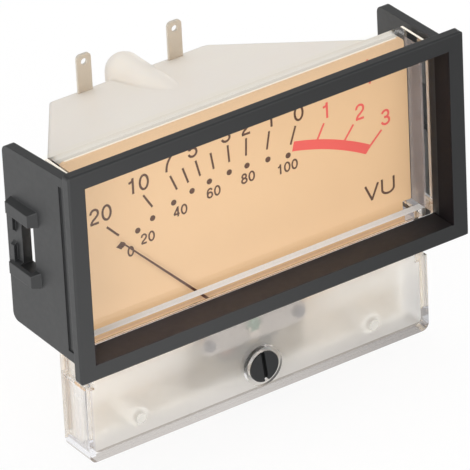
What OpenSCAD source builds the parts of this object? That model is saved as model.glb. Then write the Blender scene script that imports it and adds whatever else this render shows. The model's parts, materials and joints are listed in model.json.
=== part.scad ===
// Flush-mounting moving-coil VU panel meter with a push-on bezel.
// Frame: +X to the right as seen from the front, +Y from front to back, +Z up, millimetres.
// The origin is the middle of the underside of the whole box, where the meter stands.
// Inside the modules y is counted from the bezel's front face; at_front() brings it into the frame.

/* [Bezel] */
// Width of the front flange
bezel_w = 86; // [84:1:96]
// Height of the front flange
bezel_h = 42.8; // [41:0.2:52]
// Thickness of the front flange
bezel_t = 1.85; // [1.4:0.05:2.6]
// Corner radius of the front flange
bezel_corner_r = 0.8; // [0.4:0.1:1.6]
// Chamfer round the front edge of the flange
bezel_chamfer = 0.3; // [0.1:0.1:0.5]
// How far the flange stands out past the side arms
arm_inset = 1.46; // [1.2:0.02:2.4]
// Thickness of a side arm
arm_t = 1.92; // [1.5:0.02:2.6]
// Distance from the front face to the rear end of the arms
arm_reach = 23.2; // [20:0.2:30]
// How far the arms lean outwards at their rear ends
arm_splay = 0.6; // [0:0.1:1]
// How much the arms lose at top and bottom towards the rear
arm_taper = 0.93; // [0:0.05:1.5]
// Corner radius at the rear ends of the arms
arm_corner_r = 1.6; // [0.5:0.1:3]
// Flange above the opening and below it
bezel_bar = 3.28; // [2.6:0.02:5]
// Wall of the collar behind the upper and lower bars
collar_t = 0.9; // [0.6:0.1:1.4]
// Depth of the lower collar from the front face
collar_depth = 6; // [4:0.1:6.4]
// Depth of the upper collar from the front face
top_collar_depth = 4.6; // [3:0.1:5.5]
// Distance of the upright groove in each arm from the front face
groove_y0 = 3.8; // [3:0.1:5]
// Width of that groove
groove_w = 1.9; // [1:0.1:2.4]
// Depth of that groove
groove_depth = 0.25; // [0.1:0.05:0.5]
// Distance of the groove's ends from the opening's upper and lower edges
groove_end = 1.2; // [0.6:0.1:3]

/* [Latch loops on the arms] */
// Height of the loop's centre above the flange's lower edge
latch_z = 21.6; // [19:0.1:24]
// Height of the loop over both ribs
latch_h = 15.2; // [12:0.1:18]
// Height of one rib
latch_rib_h = 2.7; // [1.5:0.1:3.5]
// How far the ribs stand out from the arm
latch_out = 1.5; // [0.8:0.1:2]
// Distance of the loop's front end from the front face
latch_y0 = 14.2; // [10:0.1:15]
// Distance of the loop's rear end from the front face
latch_y1 = 21.4; // [18:0.1:22]
// Width of the slot through the arm
latch_slot_w = 3.85; // [2:0.05:4.5]
// Thickness of the strap behind the slot
latch_strap_t = 1.1; // [0.8:0.1:1.6]
// How much lower the strap is than the ribs
latch_strap_drop = 0.6; // [0.2:0.1:0.8]

/* [Clear cover] */
// Clearance between the cover's window box and the bezel
cover_gap = 0.45; // [0.2:0.05:0.8]
// Distance of the window's front face from the bezel's front face
window_front = 5.9; // [4.8:0.1:6.4]
// Distance of the cover's rear rim from the bezel's front face
cover_back = 14.8; // [13.8:0.1:16.5]
// Wall of the window box
cover_wall = 1.4; // [1:0.1:1.6]
// Depth of the shelf under the window
shelf_depth = 2.5; // [1.8:0.1:2.8]
// Wall of the skirt
skirt_wall = 1.3; // [1:0.05:1.5]
// Distance the skirt reaches below the flange's lower edge
skirt_drop = 21.6; // [19:0.1:26]
// How much narrower each side of the skirt is than the flange
skirt_inset = 5; // [4.5:0.1:6]
// How much narrower each side of the skirt is behind the bezel
skirt_neck = 0.9; // [0.4:0.1:1.4]
// Height of that step above the skirt's lower edge
skirt_step = 16.1; // [14:0.1:18]
// How far the skirt's face lies behind the window's face
skirt_back = 0.8; // [0.4:0.1:1.2]
// Corner radius at the skirt's lower corners
skirt_corner_r = 1.5; // [0.8:0.1:3]
// Radius of the pegs that lock the cover to the housing
peg_r = 1.1; // [0.8:0.1:1.4]
// Distance of each peg from the middle plane
peg_x = 26.1; // [20:0.1:30]
// Height of the pegs above the skirt's lower edge
peg_z = 4.9; // [4.4:0.1:6]

/* [Rear housing] */
// Distance of the housing's rear wall from the bezel's front face
housing_back = 46.4; // [42:0.1:54]
// How much narrower each side of the housing is at the cover's rim than the window box
housing_step = 1.07; // [0.57:0.05:1.27]
// Half of the housing's width at its rear wall
housing_rear_hw = 17.4; // [16:0.1:24]
// How far the roof's rear edge lies below the lip that slides into the cover
roof_drop = 8.72; // [7.6:0.01:12]
// Fall of the roof from front to back, as a slope
roof_slope = 0.235; // [0.1:0.005:0.26]
// Height of the housing's floor behind the cover's rim
floor_front_z = 1.8; // [1.5:0.1:3]
// Rise of the floor from front to back, as a slope
floor_slope = 0.06; // [0:0.01:0.08]
// Wall of the housing
housing_wall = 1.4; // [1.1:0.1:1.8]
// Corner radius of the housing's upright rear edges
housing_corner_r = 1.6; // [1.5:0.1:3]
// Length of the lip that slides into the cover
lip_len = 2.8; // [2:0.1:3.2]
// Clearance of the lip in the cover
lip_gap = 0.15; // [0.05:0.05:0.3]
// Radius of the upper corners of the lip and of the dial
nest_corner_r = 1.2; // [0.6:0.1:1.4]
// Radius of the domed boss at the rear
boss_r = 3.74; // [3:0.1:5]
// Distance of the boss's centre line behind the rear wall's outer face
boss_back = 1.15; // [0:0.05:1.5]
// Height of the dome's centre above the roof's rear edge
boss_rise = 0; // [-1:0.1:1]

/* [Solder tags] */
// Width of a tag
tag_w = 3.1; // [2.4:0.1:4]
// Thickness of a tag
tag_t = 0.5; // [0.4:0.05:0.8]
// Distance of each tag from the middle plane
tag_x = 10.05; // [8:0.05:13]
// How far a tag stands above the roof's rear edge
tag_rise = 8; // [6:0.1:11]
// Length of a tag
tag_len = 19; // [16:0.1:24]
// Radius of the eye in a tag
tag_eye_r = 0.65; // [0.5:0.05:0.8]
// Distance of the eye's centre below the tag's top
tag_eye_drop = 1.55; // [1.4:0.05:2.4]
// Distance of the tag's rear face in front of the wall's outer face
tag_cover_t = 0.5; // [0.4:0.05:0.7]

/* [Dial] */
// Thickness of the dial plate
dial_t = 0.8; // [0.5:0.1:1]
// Height of the dial's lower edge above the underside
dial_low = 14.1; // [13:0.1:14.6]
// Distance of each dial screw from the middle plane
dial_screw_x = 29.2; // [26:0.1:31]
// Height of the dial screws above the underside
dial_screw_z = 16; // [15.8:0.1:16.6]
// Radius of a dial screw's head
dial_screw_head_r = 1.7; // [1.3:0.1:2]
// Radius of a dial screw's shank
dial_screw_r = 0.8; // [0.6:0.05:1]

/* [Movement] */
// Height of the pointer's pivot above the underside
pivot_z = 13.6; // [13.2:0.1:14]
// Thickness of the frame plate
frame_t = 1; // [0.8:0.1:1.4]
// Radius of the opening in the frame plate
frame_hole_r = 8.2; // [8:0.1:8.6]
// Outer radius of the yoke ring
yoke_r = 9.6; // [9.2:0.1:9.8]
// Length of the yoke ring
yoke_len = 9; // [8:0.1:10]
// Radius of the core magnet
core_r = 5.5; // [5:0.1:5.6]
// Width of the coil
coil_w = 2.4; // [1.8:0.1:2.8]
// Depth of the coil's winding
coil_depth = 0.8; // [0.5:0.1:0.9]
// Thickness of the coil former
former_t = 0.3; // [0.2:0.05:0.3]
// Radius of the pivots
pivot_r = 0.25; // [0.2:0.05:0.3]
// Distance of the front bridge from the bezel's front face
bridge_y = 9.1; // [9:0.05:9.15]
// Thickness of the bridges
bridge_t = 0.7; // [0.6:0.05:0.75]
// Height of the bridges
bridge_h = 4.5; // [4:0.1:5]
// Radius of a jewel screw's head
jewel_head_r = 1.5; // [1.2:0.1:1.8]
// Turns of a hairspring
spring_turns = 3.5; // [2.5:0.5:4.5]
// Outer radius of a hairspring
spring_r = 3.3; // [3:0.1:3.4]

/* [Pointer] */
// Length of the pointer from its pivot to its tip
pointer_len = 38.6; // [34:0.1:40]
// Resting angle of the pointer, from upright towards the left
rest_angle = 44.1; // [40:0.1:48]
// Full travel of the pointer to the right
full_travel = 97; // [90:1:100]
// How far the pointer can be pressed left of its rest
left_travel = 1.9; // [1:0.1:3]
// Width of the needle where it leaves the movement
pointer_root_w = 0.6; // [0.4:0.05:0.8]
// Width of the needle at its tip
pointer_tip_w = 0.3; // [0.2:0.05:0.4]
// Thickness of the pointer
pointer_t = 0.2; // [0.16:0.02:0.3]
// Distance of the needle in front of the dial
needle_gap = 0.8; // [0.6:0.05:0.9]

/* [Zero adjuster] */
// Height of the adjuster's axis above the underside
adjuster_z = 6.8; // [6.5:0.1:7]
// Radius of the slotted head
adjuster_r = 3.1; // [2.6:0.1:3.4]
// Distance of the head's face from the bezel's front face
adjuster_front = 5.5; // [5.3:0.05:5.6]
// Thickness of the head
adjuster_head_t = 1.6; // [1.2:0.1:1.7]
// Width of the slot in the head
adjuster_slot_w = 0.85; // [0.6:0.05:1.2]
// Depth of the slot in the head
adjuster_slot_d = 0.9; // [0.6:0.1:1.1]
// Tilt of the slot from upright, towards the right
adjuster_slot_tilt = -6.6; // [-30:0.2:30]
// Radius of the adjuster's neck
adjuster_neck_r = 2.2; // [1.9:0.05:2.4]
// Distance of the eccentric pin from the adjuster's axis
pin_throw = 1.5; // [1.2:0.1:1.6]
// Radius of the eccentric pin
pin_r = 0.5; // [0.4:0.05:0.6]
// Radius of the clear boss round the head
adjuster_boss_r = 4; // [3.9:0.1:5]

/* [Rectifier board] */
// Width of the board
board_w = 22; // [20:1:26]
// Height of the board
board_h = 14; // [12:1:16]
// Thickness of the board
board_t = 1.6; // [1.2:0.1:1.8]
// Distance of the board's centre below the roof's rear edge
board_drop = 19.7; // [18:0.1:22]
// Radius of a diode's body
diode_r = 0.85; // [0.6:0.05:1]
// Length of a diode's body
diode_len = 3.4; // [2.8:0.1:4]
// Distance between a diode's two feet
diode_span = 6.6; // [5.6:0.1:7]
// Distance from diode to diode
diode_pitch = 2.4; // [2.2:0.1:2.5]
// Radius of the resistor's body
resistor_r = 1.1; // [0.8:0.1:1.2]
// Length of the resistor's body
resistor_len = 6.2; // [5:0.1:7]
// Distance between the resistor's two feet
resistor_span = 9.6; // [8.6:0.1:10]

/* [Hidden] */
$fn = 64;

// Clearances shared by several pieces
bore_gap = 0.1;
shaft_gap = 0.06;
core_gap = 0.5;
core_inset = 0.6;
eps = 0.01;

// Places along y, counted from the bezel's front face
skirt_front = window_front + skirt_back;
skirt_inner = skirt_front + skirt_wall;
lip_front = cover_back - lip_len;
dial_front = lip_front - dial_t;
frame_front = lip_front;
frame_back = frame_front + frame_t;
overall_d = housing_back + boss_back + boss_r;
slot_y0 = latch_y0 + 0.5;
slot_y1 = slot_y0 + latch_slot_w;

// Places along z, counted from the underside
bezel_z0 = skirt_drop;
bezel_z1 = bezel_z0 + bezel_h;
open_z0 = bezel_z0 + bezel_bar;
open_z1 = bezel_z1 - bezel_bar;
window_z0 = open_z0 + 0.12;
window_z1 = open_z1 - 0.12;
shelf_top = window_z0 + cover_wall;

// Half widths
bezel_hw = bezel_w / 2;
arm_outer = bezel_hw - arm_inset;
open_hw = arm_outer - arm_t;
window_hw = open_hw - cover_gap;
skirt_hw = bezel_hw - skirt_inset;
neck_hw = skirt_hw - skirt_neck;
housing_hw = window_hw - housing_step;

// The space inside the cover that the lip and the dial fill, less the clearance
nest_hw = window_hw - cover_wall - lip_gap;
nest_low_hw = neck_hw - skirt_wall - lip_gap;
nest_z1 = window_z1 - cover_wall - lip_gap;
nest_step_z = shelf_top + lip_gap;
nest_z0 = skirt_wall + lip_gap;

// Housing
roof_rear_z = nest_z1 - roof_drop;
roof_front_z = roof_rear_z + roof_slope * (housing_back - cover_back);
side_slope = (housing_hw - housing_rear_hw) / (housing_back - cover_back);
roof_ramp = 2.2;
floor_rear_z = floor_front_z + floor_slope * (housing_back - cover_back);
pad_z0 = roof_rear_z - 12;
pad_z1 = roof_rear_z - 0.5;
pad_side = 1.2;
solder_room_hw = 2.1;
solder_room_h = 6;

// Movement, front to back
coil_front = frame_front - 0.1;
former_outer = core_r + core_gap + former_t;
winding_outer = former_outer + coil_depth;
coil_back = frame_back + yoke_len + 1.1;
base_t = 0.4;
cross_t = 0.35;
cross_back = coil_front - base_t;
cross_front = cross_back - cross_t;
spring_h = 0.3;
collet_r = 0.7;
spring_t = 0.12;
front_spring_y = cross_front - 0.5 - spring_h;
front_pivot_tip = front_spring_y - 0.25;
rear_base_back = coil_back + base_t;
rear_spring_y = rear_base_back + 0.4;
rear_pivot_tip = rear_spring_y + spring_h + 0.45;
rear_bridge_y = rear_pivot_tip + 0.2;
front_bridge_back = bridge_y + bridge_t;
lever_t = 0.25;
lever_front = front_bridge_back + 0.1;
hub_r = 1.5;
jewel_shank_r = 0.8;
bridge_screw_r = 0.5;
bridge_screw_len = 2.4;
bridge_head_r = 1.1;
bridge_head_h = 0.7;
bridge_slot_w = 0.35;
lever_ring_r = 2.6;
post_r = 1.5;
front_post_x = 9.9;
rear_post_x = yoke_r + post_r + 0.2;
frame_hw = 12.6;
needle_y = dial_front - needle_gap - pointer_t;
crank_r0 = 5.4;
crank_r1 = 7;
stop_r = 0.5;
stop_radius = 9.4;
stop_spare = 0.5;
tail_len = 4.6;
slot_clear = 0.15;
head_t = 0.5;

// Housing posts and board
post_hole_depth = 5;
dial_post_r = 2.2;
board_post_r = 1.9;
board_z = roof_rear_z - board_drop;
board_z0 = board_z - board_h / 2;
board_z1 = board_z + board_h / 2;
board_screw_r = 0.75;
board_screw_head_r = 1.5;
board_screw_head_h = 0.8;
part_foot = 0.25;
part_lift = 0.3;
diode_x = -2;
diode_z1 = board_z1 - 2;
resistor_x = -1;
resistor_z = board_z0 + 1.9;
board_front = housing_back - housing_wall - 4;
board_screw_x = board_w / 2 - 2.5;
board_screw_len = housing_back - housing_wall - 0.8 - board_front;
tag_y1 = housing_back - tag_cover_t;
tag_y0 = tag_y1 - tag_t;
tag_top = roof_rear_z + tag_rise;
lead_r = 0.45;

// ---------- helpers ----------

module at_front() {
    translate([0, -overall_d / 2, 0]) children();
}

// A box given by its corners
module block(lo, hi) {
    translate(lo) cube(hi - lo);
}

// A round bar along y between y0 and y1
module bar(r, y0, y1, x = 0, z = 0) {
    translate([x, y0, z]) rotate([-90, 0, 0]) cylinder(r = r, h = y1 - y0);
}

// A flat x-z outline made solid between y0 and y1
module slab(y0, y1) {
    translate([0, y1, 0]) rotate([90, 0, 0]) linear_extrude(y1 - y0) children();
}

// A y-z outline made solid between x0 and x1
module side_slab(x0, x1) {
    translate([x0, 0, 0]) rotate([90, 0, 90]) linear_extrude(x1 - x0) children();
}

module both_sides() {
    children();
    mirror([1, 0, 0]) children();
}

// A rectangle with its corners rounded by circles, from its lower left corner
module round_rect(w, h, r) {
    translate([r, 0]) square([w - 2 * r, h]);
    translate([0, r]) square([w, h - 2 * r]);
    for (x = [r, w - r], y = [r, h - r]) translate([x, y]) circle(r = r);
}

// Turns a piece of the movement about the pivot's axis, clockwise as seen from the front
module turned(angle) {
    translate([0, 0, pivot_z]) rotate([0, angle, 0]) children();
}

// A wire of 8 sides along a smooth path through the given points
function smooth(p, t) = let (
    n = len(p) - 1,
    k = min(floor(t * n), n - 1),
    u = t * n - k,
    a = p[max(k - 1, 0)],
    b = p[k],
    c = p[k + 1],
    d = p[min(k + 2, n)]
) 0.5 * (2 * b + (c - a) * u + (2 * a - 5 * b + 4 * c - d) * u * u + (3 * b - a - 3 * c + d) * u * u * u);

function unit(v) = v / norm(v);

module wire(p, r, steps = 24) {
    sides = 8;
    path = [for (i = [0:steps]) smooth(p, i / steps)];
    up = [1, 0.31, 0.17];
    corner = [for (k = [0:sides - 1]) [cos(360 * k / sides), sin(360 * k / sides)]];
    rings = [for (i = [0:steps]) let (
        // Both ends leave square to the faces they meet, which lie across y
        tangent = i == 0 || i == steps
            ? [0, sign(path[min(i + 1, steps)][1] - path[max(i - 1, 0)][1]), 0]
            : unit(path[i + 1] - path[i - 1]),
        across = unit(cross(tangent, up)),
        above = cross(tangent, across)
    ) [for (c = corner) path[i] + r * (c[0] * across + c[1] * above)]];
    polyhedron(
        points = [for (ring = rings) each ring],
        faces = concat(
            [[for (s = [0:sides - 1]) s]],
            [for (i = [0:steps - 1], s = [0:sides - 1]) let (n = (s + 1) % sides)
                [i * sides + s, (i + 1) * sides + s, (i + 1) * sides + n]],
            [for (i = [0:steps - 1], s = [0:sides - 1]) let (n = (s + 1) % sides)
                [i * sides + s, (i + 1) * sides + n, i * sides + n]],
            [[for (s = [sides - 1:-1:0]) steps * sides + s]]
        )
    );
}

// ---------- bezel ----------

// Side view of an arm: tapered, with its rear corners rounded
module arm_outline() {
    z0 = open_z0 - collar_t;
    z1 = open_z1 + collar_t;
    back = arm_reach;
    flat_back = back - arm_corner_r;
    fall = arm_taper * (flat_back - bezel_t) / (back - bezel_t);
    difference() {
        polygon([
            [0.2, z0], [bezel_t, z0], [flat_back, z0 + fall], [back, z0 + fall],
            [back, z1 - fall], [flat_back, z1 - fall], [bezel_t, z1], [0.2, z1]
        ]);
        translate([flat_back, z0 + fall]) difference() {
            square([arm_corner_r + eps, arm_corner_r]);
            translate([0, arm_corner_r]) circle(r = arm_corner_r);
        }
        translate([flat_back, z1 - fall - arm_corner_r]) difference() {
            square([arm_corner_r + eps, arm_corner_r + eps]);
            circle(r = arm_corner_r);
        }
    }
}

// Plan view of the right arm, leaning outwards towards the rear
module arm_plan() {
    polygon([
        [open_hw, 0.2], [open_hw, bezel_t], [open_hw + arm_splay, arm_reach],
        [arm_outer + arm_splay, arm_reach], [arm_outer, bezel_t], [arm_outer, 0.2]
    ]);
}

function arm_lean(y) = arm_splay * (y - bezel_t) / (arm_reach - bezel_t);

// The loop on the right arm: two ramped ribs, a strap behind them, a pocket and a slot between
module latch_loop() {
    lean = arm_lean(latch_y0);
    foot = arm_outer - 0.4;
    top = arm_outer + lean + latch_out;
    mid_z = bezel_z0 + latch_z;
    ramp = 1.3;
    for (side = [-1, 1]) {
        rib_z = mid_z + side * (latch_h - latch_rib_h) / 2;
        z0 = rib_z - latch_rib_h / 2;
        z1 = rib_z + latch_rib_h / 2;
        intersection() {
            block([foot, latch_y0 - ramp, z0 - 1], [top, latch_y1, z1 + 1]);
            // The rib's front end is a ramp and its upper face slopes outwards
            linear_extrude(z1 + 1) polygon([
                [foot, latch_y0 - ramp], [arm_outer, latch_y0 - ramp], [top, latch_y0],
                [top, latch_y1], [foot, latch_y1]
            ]);
            slab(latch_y0 - ramp - eps, latch_y1 + eps) polygon([
                [foot, z0], [top, z0], [top, z1 - 0.3], [arm_outer, z1 + 0.6], [foot, z1 + 0.6]
            ]);
        }
    }
    difference() {
        strap_top = top - latch_strap_drop;
        scoop_r = latch_h / 8;
        block([foot, latch_y1 - latch_strap_t, mid_z - latch_h / 2],
              [strap_top, latch_y1, mid_z + latch_h / 2]);
        // Scoop in the strap where the slot's tool came out
        bar(scoop_r, latch_y1 - latch_strap_t - 1, latch_y1 + 1, strap_top + scoop_r / 2, mid_z);
    }
}

// Slot right through the arm between the ribs, in front of the strap
module latch_cuts() {
    mid_z = bezel_z0 + latch_z;
    half_h = latch_h / 2 - latch_rib_h;
    block([open_hw - 1, slot_y0, mid_z - half_h], [arm_outer + 2 * latch_out, slot_y1, mid_z + half_h]);
}

module bezel() {
    color([0.18, 0.18, 0.18]) at_front() difference() {
        union() {
            difference() {
                translate([-bezel_hw, 0, bezel_z0]) slab(0, bezel_t)
                    round_rect(bezel_w, bezel_h, bezel_corner_r);
                slab(-1, bezel_t + 1) translate([-open_hw, open_z0])
                    square([2 * open_hw, open_z1 - open_z0]);
            }
            both_sides() intersection() {
                linear_extrude(bezel_z1) arm_plan();
                side_slab(0, bezel_w) arm_outline();
            }
            both_sides() latch_loop();
            block([-open_hw - eps, bezel_t / 2, open_z0 - collar_t],
                  [open_hw + eps, collar_depth, open_z0]);
            block([-open_hw - eps, bezel_t / 2, open_z1],
                  [open_hw + eps, top_collar_depth, open_z1 + collar_t]);
        }
        both_sides() latch_cuts();
        // Shallow upright groove in each arm just behind the flange
        groove_x = arm_outer + arm_lean(groove_y0) - groove_depth;
        both_sides() block([groove_x, groove_y0, open_z0 + groove_end],
                           [bezel_w, groove_y0 + groove_w, open_z1 - groove_end]);
        // Chamfer along the four front edges
        both_sides() chamfer_side();
        for (z = [bezel_z0, bezel_z1]) chamfer_level(z);
    }
}

// A square bar laid along an edge, turned so that it cuts a 45 degree chamfer
module chamfer_side() {
    c = bezel_chamfer * sqrt(2);
    translate([bezel_hw, 0, bezel_z0 - 1]) rotate([0, 0, 45]) translate([-c / 2, -c / 2, 0])
        cube([c, c, bezel_h + 2]);
}

module chamfer_level(z) {
    c = bezel_chamfer * sqrt(2);
    translate([-bezel_hw - 1, 0, z]) rotate([45, 0, 0]) translate([0, -c / 2, -c / 2])
        cube([bezel_w + 2, c, c]);
}

// ---------- clear front cover ----------

module skirt_outline(inset) {
    r = skirt_corner_r;
    hw = skirt_hw - inset;
    translate([-hw, inset]) difference() {
        square([2 * hw, skirt_step - 2 * inset]);
        for (side = [0, 1]) translate([side * 2 * hw, 0]) mirror([side, 0]) difference() {
            translate([-eps, -eps]) square(r + eps);
            translate([r, r]) circle(r = r);
        }
    }
    translate([-hw + skirt_neck, r + inset]) square([2 * (hw - skirt_neck), window_z0 - r + 0.5]);
}

module front_cover() {
    color([0.93, 0.93, 0.92, 0.35]) at_front() {
        difference() {
            union() {
                block([-window_hw, window_front, window_z0], [window_hw, cover_back, window_z1]);
                slab(skirt_front, cover_back) skirt_outline(0);
                bar(adjuster_boss_r, window_front - 0.2, skirt_inner, 0, adjuster_z);
            }
            // Room behind the window, above the shelf
            block([-window_hw + cover_wall, window_front + cover_wall, shelf_top],
                  [window_hw - cover_wall, cover_back + 1, window_z1 - cover_wall]);
            // Room behind the shelf, down into the skirt
            block([-neck_hw + skirt_wall, window_front + cover_wall + shelf_depth - 1.4, skirt_step],
                  [neck_hw - skirt_wall, cover_back + 1, shelf_top + eps]);
            // Room in the skirt
            slab(skirt_inner, cover_back + 1) intersection() {
                skirt_outline(skirt_wall);
                translate([-bezel_w, 0]) square([2 * bezel_w, window_z0 - 0.4]);
            }
            // Seat and neck hole of the adjuster
            bar(adjuster_r + bore_gap, 0, adjuster_front + adjuster_head_t + 0.05, 0, adjuster_z);
            bar(adjuster_neck_r + shaft_gap, 0, skirt_inner + 1, 0, adjuster_z);
        }
        both_sides() bar(peg_r, skirt_inner - eps, skirt_inner + 3.6, peg_x, peg_z);
    }
}

// ---------- rear housing ----------

// Plan of the housing behind the cover, drawn in from its outer face by inset
module housing_plan(inset) {
    shift = inset * sqrt(1 + side_slope * side_slope);
    r = housing_corner_r - min(inset, housing_corner_r - 0.2);
    back = housing_back - inset;
    // Corner circles touch the rear wall and the slanted sides
    x = housing_rear_hw - shift + side_slope * (inset + r) - r * sqrt(1 + side_slope * side_slope);
    hull() {
        for (side = [-1, 1]) {
            translate([side * (housing_hw - shift - 0.01), cover_back + 0.01]) square(0.02, center = true);
            translate([side * x, back - r]) circle(r = r, $fn = 32);
        }
    }
}

// Side view of the housing's body; the ramp brings the roof up to the lip
module housing_side(inset) {
    polygon([
        [cover_back - 1, floor_front_z - floor_slope + inset],
        [housing_back + 1, floor_rear_z + floor_slope + inset],
        [housing_back + 1, roof_rear_z - roof_slope - inset * 1.03],
        [cover_back + roof_ramp, roof_front_z - roof_slope * roof_ramp - inset * 1.03],
        [cover_back, nest_z1 - inset], [cover_back - 1, nest_z1 - inset]
    ]);
}

module housing_body(inset) {
    intersection() {
        linear_extrude(bezel_z1) housing_plan(inset);
        side_slab(-bezel_w / 2, bezel_w / 2) housing_side(inset);
    }
}

// Outline of the lip and of the dial, inside the cover, with its upper corners rounded
module nest_outline(low, inset = 0) {
    r = max(nest_corner_r - inset, 0);
    w = 2 * (nest_hw - inset);
    h = nest_z1 - nest_step_z - 2 * inset;
    translate([-nest_hw + inset, nest_step_z + inset]) {
        square([w, h - r]);
        translate([r, 0]) square([w - 2 * r, h]);
        if (r > 0) for (x = [r, w - r]) translate([x, h - r]) circle(r = r);
    }
    translate([-nest_low_hw + inset, low + inset])
        square([2 * (nest_low_hw - inset), nest_step_z - low + housing_wall]);
}

// The domed boss: a spine down the rear wall and a round-topped ridge running forward into the roof
module domed_boss() {
    y = housing_back + boss_back;
    z = roof_rear_z + boss_rise;
    front = cover_back + 6;
    translate([0, y, floor_rear_z]) cylinder(r = boss_r, h = z - floor_rear_z);
    translate([0, y, z]) sphere(r = boss_r);
    bar(boss_r, front, y, 0, z);
    block([-boss_r, front, z - 3], [boss_r, y, z]);
    block([-boss_r, housing_back - housing_wall, floor_rear_z], [boss_r, y, z]);
}

// Inside of the boss, open to the light box
module boss_hollow() {
    y = housing_back + boss_back;
    z = roof_rear_z + boss_rise;
    r = boss_r - housing_wall;
    z0 = floor_rear_z + housing_wall + 0.1;
    translate([0, y, z0]) cylinder(r = r, h = z - z0);
    translate([0, y, z]) sphere(r = r);
    bar(r, cover_back + 4, y, 0, z);
    block([-r, housing_back - housing_wall - 1, z0], [r, y, z]);
    block([-r, cover_back + 4, z - 6], [r, y, z]);
}

module housing_posts() {
    both_sides() {
        // Post behind each dial screw
        bar(dial_post_r, frame_back, housing_back, dial_screw_x, dial_screw_z);
        // Socket for each of the cover's pegs
        bar(peg_r + 1, skirt_inner + 1, cover_back + 3, peg_x, peg_z);
        block([peg_x - 1, lip_front, nest_z0], [peg_x + 1, cover_back + 3, peg_z]);
        // Boss behind each board screw
        bar(board_post_r, board_front + board_t, housing_back - 0.5, board_screw_x, board_z);
        // Pad that holds each tag
        block([tag_x - tag_w / 2 - pad_side, housing_back - 2 * housing_wall, pad_z0],
              [tag_x + tag_w / 2 + pad_side, housing_back - 0.3, pad_z1]);
    }
}

module rear_housing() {
    color([0.9, 0.88, 0.84]) at_front() difference() {
        union() {
            difference() {
                union() {
                    housing_body(0);
                    domed_boss();
                    slab(lip_front, cover_back + 0.5) nest_outline(nest_z0);
                }
                housing_body(housing_wall);
                boss_hollow();
                slab(lip_front - 1, cover_back + 1) nest_outline(nest_z0, housing_wall);
            }
            intersection() {
                housing_posts();
                union() {
                    housing_body(0.2);
                    block([-nest_low_hw, skirt_inner, nest_z0], [nest_low_hw, cover_back + 1, nest_z1]);
                }
            }
        }
        both_sides() {
            bar(dial_screw_r + shaft_gap, frame_back - 1, frame_back + post_hole_depth + 0.3,
                dial_screw_x, dial_screw_z);
            bar(peg_r + bore_gap, 0, skirt_inner + 4, peg_x, peg_z);
            bar(board_screw_r + shaft_gap, board_front, housing_back - housing_wall - 0.5,
                board_screw_x, board_z);
            // Slot for each tag, open at the roof and into the light box below the pad
            block([tag_x - tag_w / 2 - 0.02, tag_y0 - 0.02, pad_z0 - 0.1],
                  [tag_x + tag_w / 2 + 0.02, tag_y1 + 0.02, bezel_z1]);
            block([tag_x - solder_room_hw, tag_y0 - 2, pad_z0 - 0.1],
                  [tag_x + solder_room_hw, tag_y1 + 0.02, pad_z0 + solder_room_h]);
        }
    }
}

// ---------- dial ----------

module dial_plate() {
    color([0.94, 0.78, 0.58]) at_front() difference() {
        slab(dial_front, lip_front) nest_outline(dial_low);
        // Room for the movement, hidden behind the bezel's lower bar
        bar(crank_r1 + 0.6, 0, housing_back, 0, pivot_z);
        block([-frame_hw + 0.6, 0, 0], [frame_hw - 0.6, housing_back, pivot_z + 3.4]);
        both_sides() bar(dial_screw_r + bore_gap, 0, housing_back, dial_screw_x, dial_screw_z);
        stop_pins(stop_r + bore_gap, dial_front - 1, frame_front + 1);
    }
}

module slotted_screw(head_r, head_h, shank_r, shank_len, x, y, z, slot_w = 0.5) {
    // y is the face of the piece that the head bears on, and the shank runs backwards from it
    difference() {
        union() {
            bar(head_r, y - head_h, y, x, z);
            bar(shank_r, y - eps, y + shank_len, x, z);
        }
        block([x - head_r, y - head_h - 1, z - slot_w / 2], [x + head_r, y - head_h / 2, z + slot_w / 2]);
    }
}

module dial_screws() {
    color([0.72, 0.55, 0.32]) at_front() both_sides()
        slotted_screw(dial_screw_head_r, 0.9, dial_screw_r, dial_t + frame_t + post_hole_depth,
                      dial_screw_x, dial_front, dial_screw_z);
}

// ---------- solder tags ----------

module solder_tag(x) {
    top_r = 0.9;
    z0 = tag_top - tag_len;
    color([0.78, 0.75, 0.7]) at_front() difference() {
        translate([x - tag_w / 2, 0, z0]) slab(tag_y0, tag_y1) round_rect(tag_w, tag_len, top_r);
        bar(tag_eye_r, 0, housing_back + 10, x, tag_top - tag_eye_drop);
    }
}

module terminal_left() {
    solder_tag(-tag_x);
}

module terminal_right() {
    solder_tag(tag_x);
}

// ---------- zero adjuster ----------

module zero_adjuster() {
    head_back = adjuster_front + adjuster_head_t;
    color([0.12, 0.12, 0.12]) at_front() translate([0, 0, adjuster_z]) {
        difference() {
            union() {
                bar(adjuster_r, adjuster_front, head_back);
                bar(adjuster_neck_r, head_back - eps, skirt_inner + 0.95);
            }
            rotate([0, adjuster_slot_tilt, 0])
                block([-adjuster_slot_w / 2, 0, -adjuster_r - 1],
                      [adjuster_slot_w / 2, adjuster_front + adjuster_slot_d, adjuster_r + 1]);
            // Groove for the clip
            difference() {
                bar(adjuster_r, skirt_inner + 0.06, skirt_inner + 0.46);
                bar(adjuster_neck_r - 0.5, skirt_inner, skirt_inner + 1);
            }
        }
        bar(pin_r, skirt_inner + 0.9, lever_front + lever_t + 0.2, 0, pin_throw);
    }
}

module adjuster_clip() {
    inner = adjuster_neck_r - 0.5;
    color([0.7, 0.7, 0.72]) at_front() translate([0, 0, adjuster_z]) difference() {
        bar(adjuster_neck_r + 1.2, skirt_inner + 0.1, skirt_inner + 0.42);
        bar(inner + 0.02, skirt_inner, skirt_inner + 1);
        // Mouth of the clip
        block([-inner * 0.8, 0, -2 * adjuster_r], [inner * 0.8, housing_back, 0]);
    }
}

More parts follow.
